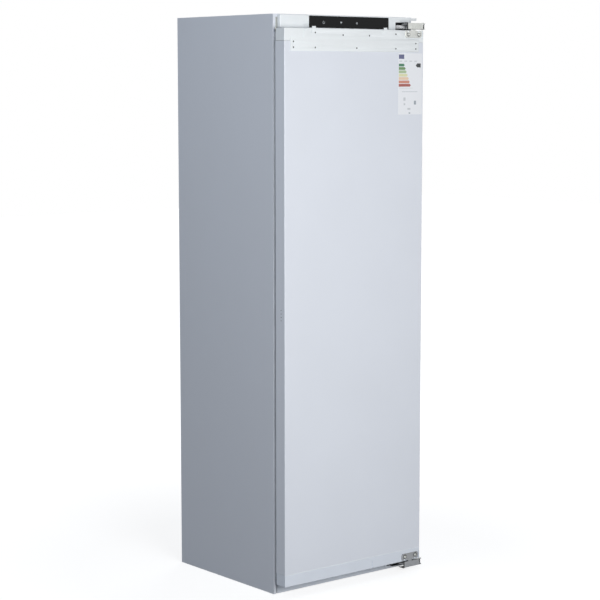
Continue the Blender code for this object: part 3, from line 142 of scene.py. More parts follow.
class Finish:
    """A material in the making: its shader's plain values, and the patterns that drive them.

    The colour is an sRGB hex code or a linear colour."""

    def __init__(self, name, colour, roughness, metallic=0.0, **values):
        self.material = bpy.data.materials.new(name)
        self.material.use_nodes = True
        self.tree = self.material.node_tree
        self.shader = self.tree.nodes["Principled BSDF"]
        self.colour = linear(colour) if isinstance(colour, str) else tuple(colour)
        values.update(Base_Color=self.colour, Roughness=roughness, Metallic=metallic)
        for key, value in values.items():
            self.shader.inputs[key.replace("_", " ")].default_value = value

    def pattern(self, kind, size, stretch=(1, 1, 1), **inputs):
        """The outputs of a texture whose size is real, in metres, on Object coordinates."""
        spot = add_node(self.tree, "ShaderNodeTexCoord", output="Object")
        turn = add_node(self.tree, "ShaderNodeMapping", {"Vector": spot, "Scale": stretch})
        inputs = {"Vector": turn, "Scale": 1 / size, **inputs}
        return add_node(self.tree, f"ShaderNodeTex{kind}", inputs).node.outputs

    def noise(self, grain, detail, stretch=(1, 1, 1)):
        return self.pattern("Noise", 2 * grain, stretch, Detail=detail)["Fac"]

    def spread(self, value, low, high):
        """Maps the middle of a noise value onto a range."""
        return add_node(self.tree, "ShaderNodeMapRange", {
            "Value": value, "From Min": 0.3, "From Max": 0.7, "To Min": low, "To Max": high})

    def drive(self, value, depth=None, sheen=None, tone=None, spread_tone=True):
        """Lets a pattern raise the surface by a real depth and its strength, move the roughness between two
        values, and lighten and darken the colour by a share."""
        links, inputs = self.tree.links, self.shader.inputs
        if depth:
            bump = {"Height": value, "Distance": depth[0], "Strength": depth[1]}
            links.new(add_node(self.tree, "ShaderNodeBump", bump), inputs["Normal"])
        if sheen:
            links.new(self.spread(value, *sheen), inputs["Roughness"])
        if tone:
            dark, light = [(*[min(1.0, c * (1 + share)) for c in self.colour[:3]], 1.0)
                           for share in (-tone, tone)]
            factor = self.spread(value, 0.0, 1.0) if spread_tone else value
            links.new(mixed(self.tree, factor, dark, light), inputs["Base Color"])
        return self.material


# Finishes

def coated_steel(name, colour, roughness):
    """Roller-coated steel sheet: a satin coat with faint orange peel and slow changes of sheen."""
    finish = Finish(name, colour, roughness, IOR=1.5)
    # the coat's real peel is about 0.8 mm; it is drawn at 2.5 mm so that it shows
    finish.drive(finish.noise(2.5 * MM, 1.0), depth=(0.02 * MM, 0.6))
    # wiping and handling leave the sheen uneven over a hand's width
    return finish.drive(finish.noise(120 * MM, 3.0), sheen=(roughness - 0.04, roughness + 0.05), tone=0.012)


def moulded_plastic(name, colour, roughness, grain=0.9 * MM, depth=0.03 * MM):
    """Injection-moulded ABS: a spark-eroded mould leaves a fine even grain that softens every highlight."""
    finish = Finish(name, colour, roughness, IOR=1.54)
    finish.drive(finish.noise(grain, 4.0), depth=(depth, 0.5))
    return finish.drive(finish.noise(35 * MM, 2.0), sheen=(roughness - 0.03, roughness + 0.03), tone=0.015)


def thermoformed(name, colour):
    """Thermoformed polystyrene: glossy, with the slow waviness of a sheet drawn over a mould."""
    finish = Finish(name, colour, 0.24, IOR=1.59)
    return finish.drive(finish.noise(45 * MM, 1.0), depth=(0.25 * MM, 0.5), sheen=(0.20, 0.30))


def zinc_plated(name, colour, roughness):
    """Zinc-plated pressed steel: bright, with fine rolling lines and a slightly clouded plating."""
    finish = Finish(name, colour, roughness, 1.0)
    finish.drive(finish.noise(0.35 * MM, 2.0, (0.06, 1.0, 1.0)), depth=(0.02 * MM, 0.5))
    return finish.drive(finish.noise(7 * MM, 3.0), sheen=(roughness - 0.07, roughness + 0.10), tone=0.06)


def galvanised(name, colour):
    """Hot-dip galvanised sheet: zinc crystals a few millimetres wide, each with its own grey and sheen."""
    finish = Finish(name, colour, 0.38, 1.0)
    crystal = finish.pattern("Voronoi", 9 * MM)["Color"]
    shade = add_node(finish.tree, "ShaderNodeSeparateColor", {"Color": crystal}).node.outputs
    finish.drive(shade["Red"], sheen=(0.30, 0.46))
    return finish.drive(shade["Green"], tone=0.10, spread_tone=False)


def stoved_enamel(name, colour):
    """Stoved black enamel: a thick dipped coat, glossy over the curves, dusty where air settles."""
    finish = Finish(name, colour, 0.32, IOR=1.5)
    finish.drive(finish.noise(6 * MM, 2.0), depth=(0.08 * MM, 0.5))
    return finish.drive(finish.noise(30 * MM, 4.0), sheen=(0.28, 0.48), tone=0.25)


def back_printed_glass(name, colour):
    """Float glass printed black on its back: a deep black with a clean, mirror-like front."""
    finish = Finish(name, colour, 0.06, IOR=1.52, Specular_IOR_Level=0.16)
    return finish.drive(finish.noise(18 * MM, 3.0), sheen=(0.04, 0.12))


def toughened_glass(name, colour):
    """Toughened float glass: clear, with the faint green of its iron and slight roller wave."""
    finish = Finish(name, colour, 0.02, IOR=1.52, Transmission_Weight=0.94)
    return finish.drive(finish.noise(60 * MM, 1.0), depth=(0.05 * MM, 0.3))


def clear_san(name, colour):
    """Injection-moulded clear SAN: glassy, slightly blue, with weld lines that bend what lies behind."""
    finish = Finish(name, colour, 0.06, IOR=1.57, Transmission_Weight=0.86)
    return finish.drive(finish.noise(22 * MM, 2.0), depth=(0.08 * MM, 0.4))


def extruded_pvc(name, colour):
    """Extruded soft PVC: matt, drawn lengthwise by the die, and soiled in patches."""
    finish = Finish(name, colour, 0.62, IOR=1.53)
    finish.drive(finish.noise(1.2 * MM, 2.0), depth=(0.04 * MM, 0.5))
    return finish.drive(finish.noise(25 * MM, 3.0), tone=0.08)


def foamed_polyurethane(name, colour):
    """Poured polyurethane foam: pale yellow with a burst skin of small cells."""
    finish = Finish(name, colour, 0.9)
    return finish.drive(finish.pattern("Voronoi", 3 * MM)["Distance"], depth=(0.4 * MM, 0.6), tone=0.10,
                        spread_tone=False)


def drawn_copper(name, colour):
    """Drawn copper tube: warm and bright, dulled in patches by handling."""
    finish = Finish(name, colour, 0.28, 1.0)
    return finish.drive(finish.noise(9 * MM, 3.0), sheen=(0.20, 0.42), tone=0.15)


def solder_resist(name, colour):
    """Green solder resist on glass-fibre board, with the weave just showing."""
    finish = Finish(name, colour, 0.4)
    return finish.drive(finish.pattern("Wave", 3 * MM)["Fac"], depth=(0.02 * MM, 0.5), tone=0.08,
                        spread_tone=False)


def printed_film(name, colour):
    """Screen-printed polyester film: flat colour with the slight tooth of the ink."""
    finish = Finish(name, colour, 0.35, IOR=1.5)
    return finish.drive(finish.noise(0.8 * MM, 2.0), depth=(0.01 * MM, 0.5), tone=0.03, spread_tone=False)


FINISHES = {}


def make_finishes(colours):
    """Every finish, under the short name that the pieces use."""
    FINISHES.update({
        "grey_enamel": coated_steel("Roller-coated steel, grey", colours.cabinet_steel, 0.42),
        "pale_enamel": coated_steel("Roller-coated steel, pale", colours.door_steel, 0.38),
        "white_moulding": moulded_plastic("Moulded ABS, white", colours.moulding, 0.42),
        "cool_moulding": moulded_plastic("Moulded ABS, cool white", "D9E0EA", 0.42),
        "liner_white": thermoformed("Thermoformed polystyrene, white", colours.liner),
        "black_glass": back_printed_glass("Back-printed glass, black", "0D0E10"),
        "clear_glass": toughened_glass("Toughened glass, clear", "E4F1EC"),
        "clear_plastic": clear_san("Moulded SAN, clear", "E9F1F6"),
        "zinc_steel": zinc_plated("Zinc-plated steel, pressed", "C9CBC8", 0.30),
        # a darker copy of the zinc-plated steel: painted shade on the links in their pockets and on the lower
        # hinge
        "shaded_zinc": zinc_plated("Zinc-plated steel, painted shade", "8C8E91", 0.36),
        "galvanised": galvanised("Galvanised steel, spangled", "A6A9AC"),
        "black_plastic": moulded_plastic("Moulded polypropylene, black", "1B1C1E", 0.55, 1.1 * MM, 0.05 * MM),
        "black_enamel": stoved_enamel("Stoved enamel, black", "1E1F21"),
        "rubber": extruded_pvc("Extruded PVC, grey", "C9CDD2"),
        "foam": foamed_polyurethane("Polyurethane foam, yellow", "E0D19A"),
        "circuit_board": solder_resist("Glass-fibre board, green", "1E5A3A"),
        "copper": drawn_copper("Drawn copper", "C0805A"),
        "ink_white": printed_film("Printed film, white", "E7EAEF"),
        "ink_faint": printed_film("Printed film, pale grey", "C6CACF"),
        "ink_grey": printed_film("Printed film, grey", "9AA3AB"),
        "ink_blue": printed_film("Printed film, blue", "646887"),
        "ink_black": printed_film("Printed film, black", "363A3D"),
        "symbol": printed_film("Printed symbol, pale", "A9AEB2"),
    })
    for index, code in enumerate(("4F7F66", "6E8F62", "A9BE9A", "D9D9B0", "E2C8AE", "C98D7C", "A5605A")):
        FINISHES[f"bar_{index}"] = printed_film(f"Printed film, bar {index + 1}", code)


# Shape helpers

def to_mesh(name, form):
    mesh = bpy.data.meshes.new(name)
    form.to_mesh(mesh)
    form.free()
    return mesh


def plain_mesh(carrier):
    """The evaluated mesh of an object, which is then removed."""
    bpy.context.view_layer.update()
    graph = bpy.context.evaluated_depsgraph_get()
    mesh = bpy.data.meshes.new_from_object(carrier.evaluated_get(graph))
    bpy.data.objects.remove(carrier)
    return mesh


def carry(mesh):
    """An object in the scene that carries a mesh or a curve while its modifiers are worked out."""
    carrier = bpy.data.objects.new("carrier", mesh)
    bpy.context.scene.collection.objects.link(carrier)
    return carrier


def box_form(low, high):
    form = bmesh.new()
    bmesh.ops.create_cube(form, size=1.0)
    bmesh.ops.scale(form, vec=Vector(high) - Vector(low), verts=form.verts)
    bmesh.ops.translate(form, vec=(Vector(high) + Vector(low)) / 2, verts=form.verts)
    return form


def box_mesh(low, high, round_by=0.0, segments=2):
    """A block with rounded edges."""
    mesh = to_mesh("block", box_form(low, high))
    if not round_by:
        return mesh
    carrier = carry(mesh)
    bevel = carrier.modifiers.new("round", "BEVEL")
    bevel.width = round_by
    bevel.segments = segments
    return plain_mesh(carrier)


def turned_mesh(profile, centre, direction, steps=32):
    """A turned piece: radius and height pairs in millimetres, about a line through the centre."""
    form = bmesh.new()
    ring = [form.verts.new((radius * MM, 0, height * MM)) for radius, height in profile]
    edges = [form.edges.new(pair) for pair in zip(ring, ring[1:])]
    bmesh.ops.spin(form, geom=ring + edges, cent=(0, 0, 0), axis=(0, 0, 1), angle=math.tau, steps=steps,
                   use_merge=True)
    bmesh.ops.remove_doubles(form, verts=form.verts, dist=1e-6)
    bmesh.ops.recalc_face_normals(form, faces=form.faces)
    turn = Vector((0, 0, 1)).rotation_difference(Vector(direction)).to_matrix().to_4x4()
    bmesh.ops.transform(form, matrix=Matrix.Translation(centre) @ turn, verts=form.verts)
    return to_mesh("turned", form)


def disc_mesh(radius, near, far, centre, direction, steps):
    """A flat disc between two heights, in millimetres."""
    return turned_mesh([(0, near), (radius, near), (radius, far), (0, far)], centre, direction, steps)


def tube_mesh(points, radius, resolution=3, smooth=True):
    """A tube with closed ends along points, which are rounded into bends."""
    data = bpy.data.curves.new("tube", "CURVE")
    data.dimensions = "3D"
    data.bevel_depth = radius
    data.bevel_resolution = resolution
    data.use_fill_caps = True
    path = rounded_path(points, radius * 4) if smooth else points
    spline = data.splines.new("POLY")
    spline.points.add(len(path) - 1)
    for point, place in zip(spline.points, path):
        point.co = (*place, 1)
    mesh = plain_mesh(carry(data))
    form = bmesh.new()
    form.from_mesh(mesh)
    bmesh.ops.remove_doubles(form, verts=form.verts, dist=1e-5)
    return to_mesh("tube", form)


def rounded_path(points, radius, steps=5):
    """A line with each inner corner turned in an arc."""
    points = [Vector(point) for point in points]
    path = [points[0]]
    for before, corner, after in zip(points, points[1:], points[2:]):
        reach = min(radius, (before - corner).length * 0.45, (after - corner).length * 0.45)
        start = corner + (before - corner).normalized() * reach
        end = corner + (after - corner).normalized() * reach
        for step in range(steps + 1):
            t = step / steps
            path.append(start * (1 - t) ** 2 + corner * 2 * t * (1 - t) + end * t ** 2)
    path.append(points[-1])
    return path


def place(name, parts, body, finishes, slot=None, corner=35.0):
    """Puts meshes on a body as one piece: a mesh, or a list of meshes or pairs of a finish's number and a mesh.

    Faces that meet under the corner angle are shaded as one curve. The slot is not used."""
    form = bmesh.new()
    for part in parts if isinstance(parts, list) else [parts]:
        number, mesh = part if isinstance(part, tuple) else (0, part)
        count = len(form.faces)
        form.from_mesh(mesh)
        form.faces.ensure_lookup_table()
        for face in form.faces[count:]:
            face.material_index = number
    mesh = to_mesh(name, form)
    for finish in finishes:
        mesh.materials.append(FINISHES[finish])
    mesh.shade_smooth()
    mesh.set_sharp_from_angle(angle=math.radians(corner))
    piece = bpy.data.objects.new(name, mesh)
    bpy.context.scene.collection.objects.link(piece)
    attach(piece, body)
    return piece


def body_of_node(node):
    for body, nodes in frame["record"]["behaviour"]["bodies"].items():
        if node in nodes:
            return body
    raise RuntimeError(f"{node} is on no body")


def softened(node, width, finish, slot=None, segments=2, corner=30.0):
    """Stands a copy of a CAD node in its place with its sharp edges broken, as pressing leaves them."""
    form = bmesh.new()
    form.from_mesh(frame["nodes"][node].data)
    bmesh.ops.remove_doubles(form, verts=form.verts, dist=2e-6)
    bmesh.ops.dissolve_limit(form, angle_limit=math.radians(0.6), verts=form.verts, edges=form.edges)
    carrier = carry(to_mesh(node, form))
    bevel = carrier.modifiers.new("edges", "BEVEL")
    bevel.width = width
    bevel.segments = segments
    bevel.limit_method = "ANGLE"
    bevel.angle_limit = math.radians(corner)
    bevel.harden_normals = False
    piece = place(f"{node}_dressed", plain_mesh(carrier), body_of_node(node), [finish], slot, 40.0)
    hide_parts(node)
    return piece


# Geometry Nodes

def new_tree(name, inputs):
    """A Geometry Nodes tree with named inputs, each a socket kind and a default."""
    tree = bpy.data.node_groups.new(name, "GeometryNodeTree")
    tree.interface.new_socket(name="Geometry", in_out="INPUT", socket_type="NodeSocketGeometry")
    for label, (kind, default) in inputs.items():
        socket = tree.interface.new_socket(name=label, in_out="INPUT", socket_type=f"NodeSocket{kind}")
        if default is not None:
            socket.default_value = default
    tree.interface.new_socket(name="Geometry", in_out="OUTPUT", socket_type="NodeSocketGeometry")
    return tree, tree.nodes.new("NodeGroupInput").outputs


def end_tree(tree, geometry, finish):
    """Realises the instances, sets the finish and closes the tree."""
    real = add_node(tree, "GeometryNodeRealizeInstances", {"Geometry": geometry})
    coat = add_node(tree, "GeometryNodeSetMaterial", {"Geometry": real, "Material": finish})
    end = tree.nodes.new("NodeGroupOutput")
    tree.links.new(coat, end.inputs["Geometry"])
    return tree


def grown(mesh, tree, **values):
    """The plain mesh that a tree makes of a mesh, with its inputs set by name."""
    carrier = carry(mesh)
    modifier = carrier.modifiers.new("grow", "NODES")
    modifier.node_group = tree
    for item in tree.interface.items_tree:
        key = item.name.lower().replace(" ", "_")
        if item.in_out == "INPUT" and key in values:
            modifier[item.identifier] = values[key]
    return plain_mesh(carrier)


def fastener_tree():
    """A pan-headed screw with a cross recess on every point, facing along the point's own direction."""
    tree, start = new_tree("Fasteners", {
        "Head Radius": ("Float", 4 * MM), "Head Height": ("Float", 2.2 * MM),
        "Recess": ("Float", 0.6), "Finish": ("Material", None)})
    head = add_node(tree, "GeometryNodeMeshCone", {
        "Vertices": 28, "Side Segments": 1, "Fill Segments": 1, "Radius Bottom": start["Head Radius"],
        "Radius Top": worked(tree, "MULTIPLY", start["Head Radius"], 0.72), "Depth": start["Head Height"]},
                    fill_type="NGON")
    length = worked(tree, "MULTIPLY", start["Head Radius"], start["Recess"])
    width = worked(tree, "MULTIPLY", length, 0.24)
    lift = add_node(tree, "ShaderNodeCombineXYZ", {"Z": start["Head Height"]})
    for x, y in ((length, width), (width, length)):
        half = add_node(tree, "ShaderNodeCombineXYZ", {"X": x, "Y": y, "Z": start["Head Height"]})
        size = add_node(tree, "ShaderNodeVectorMath", {0: half, 1: (2.0, 2.0, 1.2)}, operation="MULTIPLY")
        bar = add_node(tree, "GeometryNodeMeshCube", {"Size": size})
        cutter = add_node(tree, "GeometryNodeTransform", {"Geometry": bar, "Translation": lift})
        head = add_node(tree, "GeometryNodeMeshBoolean", {"Mesh 1": head, "Mesh 2": cutter},
                        operation="DIFFERENCE", solver="EXACT")
    facing = add_node(tree, "GeometryNodeInputNamedAttribute", {"Name": "facing"}, "Attribute",
                      data_type="FLOAT_VECTOR")
    turn = add_node(tree, "FunctionNodeAlignRotationToVector", {"Vector": facing}, axis="Z")
    spots = add_node(tree, "GeometryNodeInstanceOnPoints",
                     {"Points": start["Geometry"], "Instance": head, "Rotation": turn})
    return end_tree(tree, spots, start["Finish"])


def row_tree():
    """Copies a piece along a straight line at an even pitch."""
    tree, start = new_tree("Row", {
        "Count": ("Int", 10), "Pitch": ("Vector", (0.01, 0, 0)),
        "Finish": ("Material", None)})
    line = add_node(tree, "GeometryNodeMeshLine", {"Count": start["Count"], "Offset": start["Pitch"]},
                    mode="OFFSET")
    spots = add_node(tree, "GeometryNodeInstanceOnPoints", {"Points": line, "Instance": start["Geometry"]})
    return end_tree(tree, spots, start["Finish"])


def ring_tree():
    """Copies a piece round the Y axis at even angles."""
    tree, start = new_tree("Ring", {"Count": ("Int", 7), "Finish": ("Material", None)})
    points = add_node(tree, "GeometryNodePoints", {"Count": start["Count"]})
    share = worked(tree, "DIVIDE", math.tau, start["Count"])
    angle = worked(tree, "MULTIPLY", add_node(tree, "GeometryNodeInputIndex"), share)
    turn = add_node(tree, "ShaderNodeCombineXYZ", {"Y": angle})
    spots = add_node(tree, "GeometryNodeInstanceOnPoints",
                     {"Points": points, "Instance": start["Geometry"], "Rotation": turn})
    return end_tree(tree, spots, start["Finish"])


TREES = {}


def make_trees():
    TREES.update({"fasteners": fastener_tree(), "row": row_tree(), "ring": ring_tree()})


def fasteners(name, body, places, radius, height, finish="zinc_steel", recess=0.6):
    """Puts heads on a body at places, each a point and the direction that it faces."""
    mesh = bpy.data.meshes.new("spots")
    mesh.from_pydata([point for point, _ in places], [], [])
    facing = mesh.attributes.new("facing", "FLOAT_VECTOR", "POINT")
    for item, (_, direction) in zip(facing.data, places):
        item.vector = direction
    heads = grown(mesh, TREES["fasteners"], head_radius=radius, head_height=height, recess=recess,
                  finish=FINISHES[finish])
    place(name, heads, body, [finish], corner=30.0)


def row(mesh, count, pitch, finish):
    return grown(mesh, TREES["row"], count=count, pitch=pitch, finish=FINISHES[finish])


# Operators: one for each piece or group of like pieces

NODE_FINISHES = {
    "back_panel": "galvanised", "niche_panel": "galvanised", "base_pan": "galvanised",
    "top_rail": "zinc_steel", "compressor_rail": "galvanised", "door_bottom_cap": "cool_moulding",
}


class FRIDGE_OT_frame_finishes(bpy.types.Operator):
    """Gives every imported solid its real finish"""
    bl_idname = "fridge.frame_finishes"
    bl_label = "Frame finishes"

    def execute(self, context):
        make_finishes(context.scene.fridge_colours)
        make_trees()
        slots = {part["node"]: part["material_slot"] for part in frame["record"]["subparts"]}
        for name, node in frame["nodes"].items():
            finish = FINISHES[NODE_FINISHES.get(name, slots[name])]
            if not node.material_slots:
                node.data.materials.append(finish)
            for slot in node.material_slots:
                slot.material = finish
        return {"FINISHED"}


class FRIDGE_OT_pressed_edges(bpy.types.Operator):
    """Breaks the edges of the mouldings, castings and pressings that show"""
    bl_idname = "fridge.pressed_edges"
    bl_label = "Pressed and moulded edges"

    def execute(self, context):
        for place_name in ("top", "bottom"):
            # the lower hinge, close to the floor, and the links in their pockets get a darker copy of the zinc:
            # painted shade
            steel = "zinc_steel" if place_name == "top" else "shaded_zinc"
            softened(f"hinge_arm_{place_name}", 0.9 * MM, "shaded_zinc", "zinc_steel")
            softened(f"hinge_stay_{place_name}", 1.4 * MM, "shaded_zinc", "zinc_steel", 3)
            softened(f"door_arm_{place_name}", 0.45 * MM, steel, "zinc_steel")
            softened(f"hinge_housing_{place_name}", 0.4 * MM, "black_plastic")
        softened("mounting_plate", 0.35 * MM, "white_moulding")
        softened("plinth_rail", 0.5 * MM, "cool_moulding", "white_moulding")
        softened("compressor", 1.2 * MM, "black_enamel", corner=50.0)
        softened("start_relay", 0.8 * MM, "black_plastic")
        return {"FINISHED"}


class FRIDGE_OT_hinge_screws(bpy.types.Operator):
    """Adds the hinge feet's screws, the pivots' riveted heads and the black bushes, with black rings and strips
    as painted shade round the screws and in the channels
    """
    bl_idname = "fridge.hinge_screws"
    bl_label = "Hinge screws and rivets"

    def execute(self, context):
        sizes = context.scene.fridge_sizes
        screws, rivets, marks = [], [], []
        for name, away in (("top", 1), ("bottom", -1)):
            level = HINGE_LEVELS[name]
            for x in FOOT_SCREWS:
                z = level - away * FOOT_SCREW_DROP
                screws.append(((x, FOOT_FRONT + 0.1 * MM, z), (0, -1, 0)))
                # black rings painted as shade: the shadowed gap under each head, and the shadow line round each
                # head's recess, open towards the arm
                spot = (x, FOOT_FRONT + 0.22 * MM, z)
                open_side = 0 if away > 0 else 180
                marks.append(ring_mesh(spot, (5.5 if away > 0 else 6.9) * MM, 4.5 * MM))
                marks.append(ring_mesh(spot, 7.2 * MM, 6.4 * MM, open_side + 35, open_side + 325))
            for x, y in (KNUCKLE, STAY_KNUCKLE):
                rivets += [((x, y, level + side * 0.0099), (0, 0, side)) for side in (1, -1)]
            # black strips along the three edges of the channel's open end: painted shade inside the channel
            ends = sorted((-10.5 * MM * away, 11.3 * MM * away))
            for rear, low, high in ((0.3, *ends), (24.4, ends[0], -10.0 * MM), (24.4, 10.0 * MM, ends[1])):
                marks.append(box_mesh((0.2112, FOOT_FRONT - 0.4 * MM, level + low),
                                      (0.2158, FOOT_FRONT + rear * MM, level + high), 0.2 * MM))
            # the ribbed bush between the two links
            bush = [(0, 0), (4.3, 0), (4.6, 2.0), (3.7, 4.2), (4.6, 6.4), (3.7, 8.6), (4.4, 11.2),
                    (4.2, 12.3), (0, 12.3)]
            marks.append(turned_mesh(bush, (*KNUCKLE, level - away * 0.0079), (0, 0, away), 28))
            # a black strip along the channel's side that faces the foot: a painted shadow line
            edge = sorted((level - away * 9.8 * MM, level - away * 8.9 * MM))
            marks.append(strip((0.2160, edge[0]), (0.2840, edge[1]), FOOT_FRONT + 0.02 * MM, 0.10 * MM))
        place("hinge_marks", marks, "door", ["black_plastic"])
        fasteners("hinge_screws", "door", screws, sizes.screw_head, 2.3 * MM, recess=0.58)
        fasteners("hinge_rivets", "door", rivets, 4.2 * MM, 1.3 * MM, recess=0.05)
        return {"FINISHED"}


def thickened(form, thickness):
    """The mesh of flat faces that are given a thickness towards the front."""
    grown_faces = bmesh.ops.extrude_face_region(form, geom=list(form.faces))["geom"]
    bmesh.ops.translate(form, vec=(0, -thickness, 0),
                        verts=[item for item in grown_faces if isinstance(item, bmesh.types.BMVert)])
    bmesh.ops.recalc_face_normals(form, faces=form.faces)
    return to_mesh("flat", form)


def ring_mesh(centre, outer, inner, start=0, end=360, thickness=0.12 * MM, steps=36):
    """A flat ring or part of one between two angles from the top, facing the front."""
    form = bmesh.new()
    rows = []
    for step in range(steps + 1):
        angle = math.radians(start) + (math.radians(end) - math.radians(start)) * step / steps
        direction = Vector((math.sin(angle), 0, math.cos(angle)))
        rows.append([form.verts.new(Vector(centre) + direction * radius) for radius in (inner, outer)])
    for first, second in zip(rows, rows[1:]):
        form.faces.new((first[0], second[0], second[1], first[1]))
    bmesh.ops.remove_doubles(form, verts=form.verts, dist=1e-7)
    bmesh.ops.recalc_face_normals(form, faces=form.faces)
    return thickened(form, thickness)


def flat_mesh(outline, front, thickness):
    """A flat piece drawn in the front plane."""
    form = bmesh.new()
    form.faces.new([form.verts.new((x, front, z)) for x, z in outline])
    return thickened(form, thickness)


def strip(low, high, front, thickness):
    return flat_mesh([low, (high[0], low[1]), high, (low[0], high[1])], front, thickness)


class FRIDGE_OT_control_symbols(bpy.types.Operator):
    """Prints the plain touch symbols on the black glass"""
    bl_idname = "fridge.control_symbols"
    bl_label = "Touch symbols"

    def execute(self, context):
        front = GLASS_FRONT + 0.02 * MM
        ink = 0.08 * MM
        size = 4.2 * MM
        level = 1.7490
        # an open ring with a stroke in it, a wedge and a star of three strokes
        parts = [ring_mesh((-0.092, front, level), size, size * 0.74, 55, 305, ink),
                 strip((-0.0925, 1.7500), (-0.0915, 1.7545), front, ink)]
        wedge = [(-0.0272, 1.7515), (-0.0230, 1.7462), (-0.0188, 1.7515), (-0.0188, 1.7526), (-0.0272, 1.7526)]
        parts.append(flat_mesh(wedge, front, ink))
        centre = Vector((0.0406, level))
        for turn in range(3):
            angle = math.radians(60 * turn)
            along = Vector((math.cos(angle), math.sin(angle)))
            across = Vector((-along.y, along.x)) * 0.0005
            corners = [centre - along * size - across, centre + along * size - across,
                       centre + along * size + across, centre - along * size + across]
            parts.append(flat_mesh([tuple(corner) for corner in corners], front + 0.005 * MM * turn, ink))
        place("touch_symbols", parts, "cabinet", ["symbol"], "white_moulding")
        return {"FINISHED"}


class FRIDGE_OT_energy_sheet(bpy.types.Operator):
    """Lays the printed energy sheet on the door, with plain blocks where lettering would be"""
    bl_idname = "fridge.energy_sheet"
    bl_label = "Energy sheet"

    def execute(self, context):
        sizes = context.scene.fridge_sizes
        right, top = 0.274, 1.6590
        left = right - sizes.label_width
        front = DOOR_FRONT - 0.02 * MM
        film = 0.12 * MM
        ink = 0.06 * MM
        sheet = box_mesh((left, front - film, top - sizes.label_height), (right, front, top))
        layer = front - film + 0.02 * MM
        finishes = ["ink_white", "ink_blue", "ink_grey", "ink_black", "ink_faint"]
        finishes += [f"bar_{index}" for index in range(7)]
        block = strip((left + 0.002, top - 0.0175), (left + 0.0245, top - 0.0040), layer, ink)
        parts = [(0, sheet), (1, block)]
        # four pale dashes, the seven arrows and the black mark beside them
        for index in range(4):
            x = left + 0.004 + 0.021 * index
            parts.append((4, strip((x, top - 0.0258), (x + 0.012, top - 0.0230), layer, ink)))
        for index in range(7):
            high = top - 0.0324 - 0.0104 * index
            reach = left + 0.0225 + 0.0044 * index
            arrow = [(left + 0.002, high - 0.0086), (reach, high - 0.0086), (reach + 0.0040, high - 0.0043),
                     (reach, high), (left + 0.002, high)]
            parts.append((5 + index, flat_mesh(arrow, layer, ink)))
        mark = [(left + 0.0945, top - 0.0312), (left + 0.0945, top - 0.0435), (left + 0.0795, top - 0.0435),
                (left + 0.0733, top - 0.0374), (left + 0.0795, top - 0.0312)]
        parts.append((3, flat_mesh(mark, layer, ink)))
        # the plain blocks below: number of the finish, middle across and down, width and height
        for number, x, depth, width, height in (
                (4, 0.0320, 0.1080, 0.060, 0.0010), (2, 0.0485, 0.1193, 0.065, 0.0010),
                (4, 0.0266, 0.1420, 0.009, 0.010), (4, 0.0266, 0.1580, 0.007, 0.006),
                (2, 0.0711, 0.1533, 0.009, 0.012), (4, 0.0457, 0.1727, 0.013, 0.006),
                (2, 0.0478, 0.1857, 0.007, 0.0035)):
            low = (left + x - width / 2, top - depth - height / 2)
            high = (left + x + width / 2, top - depth + height / 2)
            parts.append((number, strip(low, high, layer, ink)))
        place("energy_sheet", parts, "door", finishes, "white_moulding")
        return {"FINISHED"}


class FRIDGE_OT_plate_hole_shade(bpy.types.Operator):
    """Puts a black disc in each hole of the mounting plate: painted shade in the holes"""
    bl_idname = "fridge.plate_bores"
    bl_label = "Plate hole shade"

    def execute(self, context):
        # black discs below the plate's front, painted shade in the open holes
        parts = [disc_mesh(2.62, -0.9, -0.7, (x, PLATE_FRONT, z), (0, -1, 0), 24) for x, z in PLATE_HOLES]
        place("plate_bores", parts, "door", ["black_plastic"])
        return {"FINISHED"}


def door_frame_path(half, low, high, y, radius=6 * MM, steps=4):
    """A rectangle of half that width with rounded corners round the door's back, as points and outward
    directions."""
    points = []
    for sx, sz, start in ((1, 1, 0), (-1, 1, 90), (-1, -1, 180), (1, -1, 270)):
        centre = Vector((sx * (half - radius), y, (high if sz > 0 else low) - sz * radius))
        for step in range(steps + 1):
            angle = math.radians(start + 90 * step / steps)
            outward = Vector((math.cos(angle), 0, math.sin(angle)))
            points.append((centre + outward * radius, outward))
    return points


class FRIDGE_OT_door_seal(bpy.types.Operator):
    """Lofts the magnetic seal's bellows round the door's back"""
    bl_idname = "fridge.door_seal"
    bl_label = "Door seal"

    def execute(self, context):
        low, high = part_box("door_gasket")
        neck = 7 - 2.6 * context.scene.fridge_sizes.seal_rib / MM
        depth = high.y - low.y
        # outward offset in millimetres and share of the seal's depth, from the door side round to the cabinet
        # side and back
        section = [(-19, 0.02), (6.5, 0.02), (8, 0.08), (8, 0.24), (7, 0.30), (neck, 0.40), (neck, 0.52),
                   (6.8, 0.60), (7.8, 0.68), (8, 0.84), (7.2, 0.98), (-10, 1.0), (-15, 0.94), (-17, 0.70),
                   (-14, 0.50), (-18, 0.34)]
        form = bmesh.new()
        rows = []
        for point, outward in door_frame_path(high.x, low.z, high.z, low.y):
            # the fins reach twice as far at the sides as at the top and bottom, where the hinges pass
            rows.append([form.verts.new(point + Vector((
                outward.x * max(offset, 2 * offset) * MM, depth * share, outward.z * offset * MM)))
                for offset, share in section])
        for first, second in zip(rows, rows[1:] + rows[:1]):
            for index in range(len(section)):
                after = (index + 1) % len(section)
                form.faces.new((first[index], first[after], second[after], second[index]))
        bmesh.ops.recalc_face_normals(form, faces=form.faces)
        piece = place("door_seal", to_mesh("seal", form), "door", ["rubber"], corner=50.0)
        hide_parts("door_gasket")
        return {"FINISHED"}


